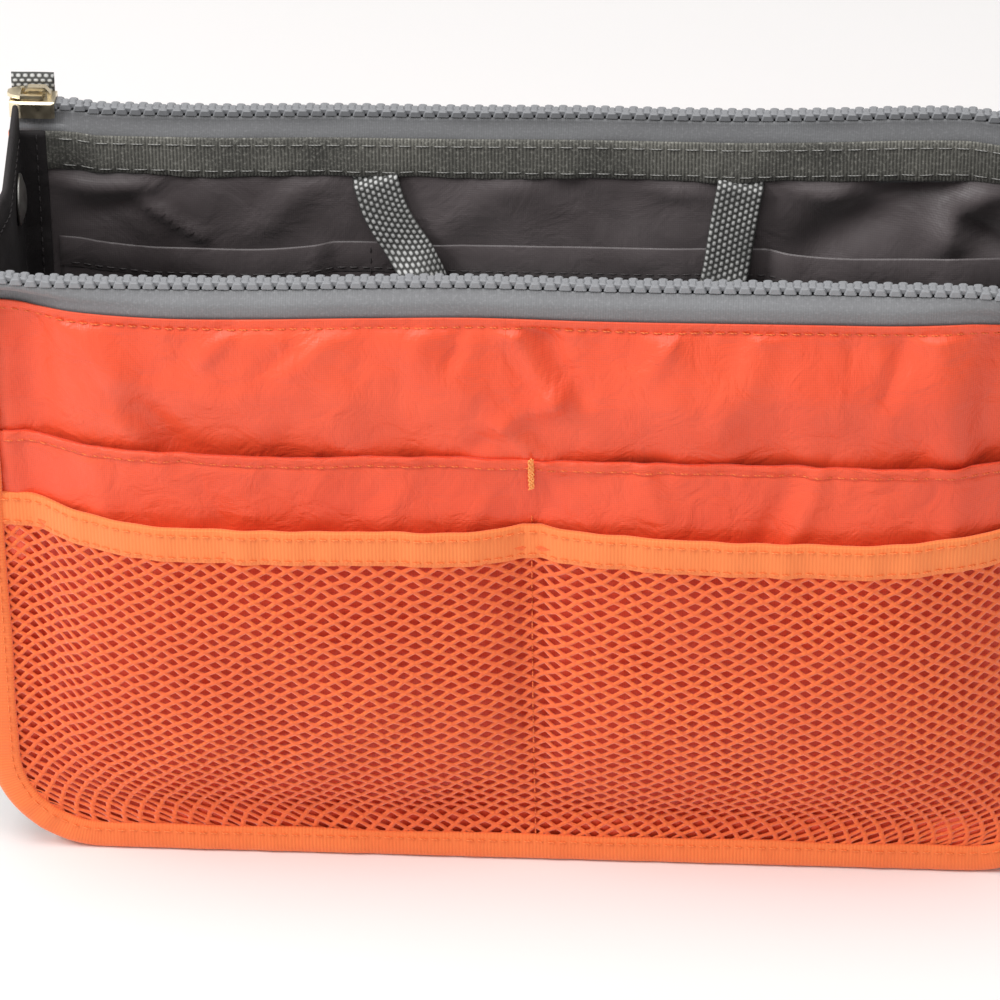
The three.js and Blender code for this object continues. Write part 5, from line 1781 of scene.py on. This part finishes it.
@dataclass
class Gusset:
    """One pleated end: a sheet from pouch to pouch with a fold line, its hem, press studs and soft foot."""

    end: End
    finishes: Finishes
    seam_x: float = 137.4
    crease_x: float = 134.568
    front: float = -36.5
    rear: float = 44.5
    top: float = 170.0
    dip: float = 3.0
    foot: float = 30.0
    foot_rise: float = 13.0
    thickness: float = 0.8
    corner: float = 29.0
    seam_radius: float = 26.4
    pouch_half: float = 140.0
    reach: tuple[float, float] = (0.004, 0.996)  # how near to the pouches the cloth comes, as shares of the way

    # radius and height of each corner, from the cloth up
    metal_profiles: ClassVar[dict[str, tuple[tuple[float, float], ...]]] = {
        "stud_cap": ((0, 0.6), (6.4, 0.6), (6.75, 0.8), (6.75, 1.15), (6.4, 1.4), (5.6, 1.55), (4.6, 2.0),
                     (3.2, 2.4), (1.6, 2.6), (0, 2.65)),
        "stud": ((0, 0.6), (4.4, 0.6), (4.7, 0.9), (4.4, 1.25), (2.5, 1.4), (1.75, 1.7), (1.65, 2.2), (1.95, 2.7),
                 (1.7, 3.15), (1.0, 3.3), (0, 3.3)),
        "socket": ((0, 0.6), (4.7, 0.6), (5.0, 0.9), (4.95, 1.5), (4.5, 1.9), (3.9, 2.3), (3.2, 2.7), (2.5, 2.65),
                   (2.15, 2.3), (2.2, 1.6), (2.1, 1.2), (0, 1.2)),
    }

    @property
    def bodies(self) -> tuple[str, str]:
        """Names of the bodies of the front and the rear half."""
        return f"{self.end.label}_gusset_front_body", f"{self.end.label}_gusset_rear_body"

    def fold(self, s: Array) -> Array:
        """Share of the fold's depth: 0 at both seams and 1 at the fold line, rounded a little there."""
        soft = 0.03
        return 1 - (np.sqrt((2 * s - 1) ** 2 + soft**2) - soft) / (math.sqrt(1 + soft**2) - soft)

    def across(self, s: Array) -> Array:
        """y from the share of the way from the front pouch to the rear one."""
        return self.front + (self.rear - self.front) * s

    @property
    def bend(self) -> Bend:
        """The other half's body, and two points 8 mm apart between which the cloth bends at the fold line."""
        x, mid = self.end.value * self.crease_x, (self.front + self.rear) / 2
        return self.bodies[1], np.array([x, mid - 4, 100.0]) * MM, np.array([x, mid + 4, 100.0]) * MM

    def face(self, s: Array, z: Array) -> Array:
        """Gives x of the sheet's middle: drawn in towards the fold line, with slack near the foot.

        Args:
            s: share of the way from the front pouch to the rear one.
            z: heights.

        Returns:
            x at each place.
        """
        slack = 0.5 * ripples(80 * s, z, 30, 89 + self.end.value) * np.sin(np.pi * np.clip(s, 0, 1)) ** 2
        inward = (self.seam_x - self.crease_x) * self.fold(s) + slack * (1 - smooth_step(z, 150, 163))
        return self.end.value * (self.seam_x - inward)

    def sheet(self) -> None:
        """Builds the sheet between the two pouches, and its folded hem with stitches."""
        columns, rows = 61, 90
        s, v = grid(np.linspace(*self.reach, columns), np.linspace(0, 1, rows))
        tri = self.fold(s)
        low, top = self.foot + self.foot_rise * tri, self.top - self.dip * tri
        z = low + (top - low) * v
        y = self.across(s)
        sheet = make_piece(f"{self.end.label}_gusset_cloth", np.column_stack([self.face(s, z), y, z]),
                           grid_faces(columns, rows, flip=self.end is End.LEFT), self.finishes.gusset,
                           np.column_stack([y, z]))
        thicken(sheet, self.thickness, 0)
        fasten(sheet, self.bodies[0], Slot.LINING, f"{self.end.label}_gusset_front_half",
               f"{self.end.label}_gusset_rear_half", bend=self.bend)
        s = np.linspace(*self.reach, 81)
        fall = np.array([9.0, 8.6, 5, 1.2, 0.3, 0.0, 0.3, 1.2, 5, 8.6])
        side = np.array([0.45, 0.75, 0.85, 0.85, 0.6, 0.0, -0.6, -0.85, -0.85, -0.75])
        where, k = grid(s, np.arange(len(fall)))
        z = self.top - self.dip * self.fold(where) - fall[k] + 0.2
        x = self.face(where, z) + side[k]
        y = self.across(where)
        points, faces = lofted(np.column_stack([x, y, z]).reshape(len(s), len(fall), 3))
        hem = make_piece(f"{self.end.label}_gusset_hem", points, faces, self.finishes.gusset,
                         np.column_stack([y, z]))
        fasten(hem, self.bodies[0], Slot.LINING, bend=self.bend)
        for name, out in (("outside", 1.0), ("inside", -1.0)):
            s = np.linspace(0.03, 0.97, 160)
            z = self.top - self.dip * self.fold(s) - 7.2
            normal = np.array([out * self.end.value, 0.0, 0.0])
            path = np.column_stack([self.face(s, z) + 0.85 * normal[0], self.across(s), z])
            Seam(3.0, 2.3, 0.36).sew(f"{self.end.label}_gusset_stitch_{name}", path, normal,
                                     self.finishes.dark_thread, self.bodies[0], Slot.LINING, self.bend)

    def allowances(self) -> None:
        """Builds the gusset's seam allowances, turned over the bindings' inner legs and stitched down."""
        z = np.linspace(self.foot - 6, 162.5, 80)
        for side in Side:
            form = PouchForm(side)
            end = self.end.value * side.value
            inset = np.array([0.5, 1.2, 4.5, 8.2, 9.6, 9.9, 9.6, 5.0, 1.0])
            lift = np.array([0.3, 0.55, 0.6, 0.58, 0.45, 0.2, 0.05, 0.1, 0.05])
            where, k = grid(z, np.arange(len(inset)))
            wave = 0.12 * puckers(where, inset[k] - 9, 12, 5, 107)
            wander = 0.4 * ripples(where, 0 * where, 40, 109) * (inset[k] > 8)
            x = end * (form.half_width(where, inset[k]) + wander)
            depth = 0.1 - (lift[k] + wave * (lift[k] > 0.3))
            points, faces = form.band(x, depth, where, len(z))
            name = f"{side.label}_{self.end.label}_gusset_allowance"
            flap = make_piece(name, points, facing_out(points, faces), self.finishes.gusset,
                              np.column_stack([inset[k], where]))
            fasten(flap, f"{side.label}_pouch", Slot.LINING)
            x = end * form.half_width(z, 7.6)
            depth = -0.5 - 0.12 * puckers(z, 0 * z - 1.4, 12, 5, 107)
            Seam(3.0, 2.3, 0.36).sew(f"{name}_stitch", form.place(x, depth, z), -form.outward,
                                     self.finishes.dark_thread, f"{side.label}_pouch", Slot.LINING)

    def soft_foot(self) -> None:
        """Builds the soft corner that carries the fold from the gusset round into the base."""
        columns, rows, spare = 41, 34, 0.24  # the cloth runs on past both ends of the quarter turn, as tongues
        s, a = grid(np.linspace(*self.reach, columns), np.linspace(-spare, 1 + spare, rows))
        tri, arc = self.fold(s), np.clip(a, 0, 1)
        turn = np.pi / 2 * arc
        tongue = (1.0 + self.foot_rise * tri) * np.abs(a - arc) / spare
        free = np.sin(np.pi * s) ** 2 * np.sin(np.pi * arc)
        bulge = 0.5 * ripples(80 * s, 40 * a, 22, 97 + self.end.value) * free
        radius = self.seam_radius - tri * (self.seam_x - self.crease_x) + bulge
        x = self.pouch_half - self.corner + radius * np.cos(turn) - np.where(a > 1, tongue, 0)
        z = self.corner - radius * np.sin(turn) + np.where(a < 0, tongue, 0)
        y = self.across(s)
        piece = make_piece(f"{self.end.label}_gusset_foot", np.column_stack([self.end.value * x, y, z]),
                           grid_faces(columns, rows, flip=self.end is End.RIGHT), self.finishes.gusset,
                           np.column_stack([y, 40 * a]))
        thicken(piece, self.thickness, 0)
        fasten(piece, "front_pouch", Slot.LINING, f"{self.end.label}_gusset_corner")
        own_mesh(piece)

    def studs(self) -> None:
        """Builds the four metal parts of the press stud: a cap on each half, a stud and a socket."""
        away, height = 12.0, 149.0  # from the seam, and above the floor
        tilt, sign = math.radians(4), self.end.value
        for half, seam, wall, metal in (("front", self.front, 1.0, "stud"), ("rear", self.rear, -1.0, "socket")):
            along = np.array([-sign * math.sin(tilt), wall * math.cos(tilt), 0.0])
            inward = np.array([-sign * math.cos(tilt), -wall * math.sin(tilt), 0.0])
            place = np.array([sign * self.seam_x, seam, height]) + away * along
            for label, out in (("stud_cap", inward), (metal, -inward)):
                axes = np.stack([along, np.cross(out, along), out])
                profile = np.array(self.metal_profiles[label])
                points, faces = repeated(turned(profile, 40), place[None], axes[None])
                node = f"{self.end.label}_gusset_{half}_{label}"
                piece = make_piece(f"{node}_metal", points, facing_out(points, faces), self.finishes.nickel)
                fasten(piece, f"{self.end.label}_gusset_{half}_body", Slot.NICKEL, node)

    def build(self) -> None:
        """Builds the whole end."""
        self.sheet()
        self.allowances()
        self.soft_foot()
        self.studs()


@dataclass
class Base:
    """The folding floor between the pouches: one sheet with a fold line along the middle."""

    finishes: Finishes
    front: float = -36.5
    rear: float = 44.5
    seam_z: float = 2.6
    crease_z: float = 5.432
    seam_half: float = 110.0
    crease_half: float = 97.0
    thickness: float = 0.8

    def build(self) -> None:
        """Builds the sheet, which bends along its fold line."""
        columns, rows = 121, 51
        share, s = grid(np.linspace(-1, 1, columns), np.linspace(0.004, 0.996, rows))
        fold = 1 - np.abs(2 * s - 1)
        x = share * (self.seam_half + (self.crease_half - self.seam_half) * fold)
        y = self.front + (self.rear - self.front) * s
        slack = 0.35 * ripples(x, y, 34, 101) * np.sin(np.pi * s) ** 2
        z = self.seam_z + (self.crease_z - self.seam_z) * fold + slack
        sheet = make_piece("base_cloth", np.column_stack([x, y, z]), grid_faces(columns, rows),
                           self.finishes.gusset, np.column_stack([x, y]))
        thicken(sheet, self.thickness, 0)
        mid = (self.front + self.rear) / 2
        near, far = (np.array([0.0, mid + away, self.crease_z]) * MM for away in (-4, 4))
        fasten(sheet, "base_front_body", Slot.LINING, "base_front_half", "base_rear_half",
               bend=("base_rear_body", near, far))


@dataclass
class Studio:
    """A pale paper table that curves up behind, soft lights, and the camera at the photograph's angle."""

    azimuth: float = 3.813
    elevation: float = 31.209
    roll: float = -0.58
    distance: float = 1.366
    target: tuple[float, float, float] = (-0.01104, -0.00054, 0.08259)
    lens: float = 192.2

    def backdrop(self) -> None:
        """Builds the paper: flat, then a quarter circle, then upright."""
        radius, front, back, half = 600.0, -2600.0, 1500.0, 3000.0
        turn = np.linspace(0, np.pi / 2, 24)
        y = np.concatenate([[front, 0.0], back + radius * np.sin(turn), [back + radius]])
        z = np.concatenate([[0.0, 0.0], radius - radius * np.cos(turn), [2600.0]])
        side, k = grid(np.array([-half, half]), np.arange(len(y)))
        paper = make_piece("studio_paper", np.column_stack([side, y[k], z[k]]), grid_faces(2, len(y)),
                           StudioPaper("pale_paper", "#f4f2f1", 0.9).make())

    def put(
        self, name: str, data: bpy.types.Light | bpy.types.Camera, axes: list[Array], place: Array
    ) -> bpy.types.Object:
        """Puts a light or a camera into the scene.

        Args:
            name: its name.
            data: its settings.
            axes: its sideways, upward and backward directions.
            place: its place in metres.

        Returns:
            The new object.
        """
        thing = bpy.data.objects.new(name, data)
        bpy.context.scene.collection.objects.link(thing)
        turn = np.eye(4)
        turn[:3] = np.column_stack([*axes, place])
        thing.matrix_world = Matrix(turn.tolist())
        return thing

    def light(self, name: str, place: tuple[float, ...], aim: float, size: float, power: float) -> None:
        """Hangs one square soft light and turns it to a point above the origin.

        Args:
            name: its name.
            place: its place in metres.
            aim: height of that point.
            size: length of its side in metres.
            power: its power in watts.
        """
        data = bpy.data.lights.new(name, "AREA")
        data.size, data.energy = size, power
        away = unit(np.array(place) - np.array([0, 0, aim]))
        side = unit(np.cross([0.0, 1.0, 0.01], away))
        self.put(name, data, [side, np.cross(away, side), away], np.array(place))

    def camera(self) -> None:
        """Places the camera from its azimuth, elevation, roll and distance."""
        a, e, r = (math.radians(v) for v in (self.azimuth, self.elevation, self.roll))
        back = np.array([math.sin(a) * math.cos(e), -math.cos(a) * math.cos(e), math.sin(e)])
        level = np.array([math.cos(a), math.sin(a), 0.0])
        upright = np.cross(back, level)
        side = level * math.cos(r) + upright * math.sin(r)
        up = -level * math.sin(r) + upright * math.cos(r)
        data = bpy.data.cameras.new("camera")
        data.lens, data.sensor_width = self.lens, 36.0
        place = np.array(self.target) + back * self.distance
        bpy.context.scene.camera = self.put("camera", data, [side, up, back], place)

    def build(self) -> None:
        """Builds the camera, the paper and the lights."""
        self.camera()
        self.backdrop()
        self.light("overhead", (-0.15, -0.25, 1.5), 0.05, 1.2, 14.0)
        self.light("key", (-1.2, -0.55, 1.1), 0.08, 0.5, 12.5)
        self.light("fill", (-0.3, -1.5, 0.5), 0.06, 0.8, 1.5)
        scene = bpy.context.scene
        scene.world = scene.world or bpy.data.worlds.new("studio")
        scene.world.use_nodes = True
        background = scene.world.node_tree.nodes["Background"]
        background.inputs["Color"].default_value = (1.0, 1.0, 1.0, 1.0)
        background.inputs["Strength"].default_value = 0.45
        scene.view_settings.view_transform = "Standard"


def main() -> None:
    """Builds the studio and then every sub-assembly of the organizer."""
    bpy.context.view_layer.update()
    Studio().build()
    finishes = Finishes()
    for side in Side:
        form = PouchForm(side)
        cloth = PouchCloth(form, finishes)
        cloth.build()
        EdgeBinding(form, finishes).build()
        Zip(form, cloth, finishes).build()
        Handle(form, finishes).build()
        if side is Side.FRONT:
            NetPocket(form, finishes).build()
    for end in End:
        Gusset(end, finishes).build()
    Base(finishes).build()


if __name__ == "__main__":
    main()
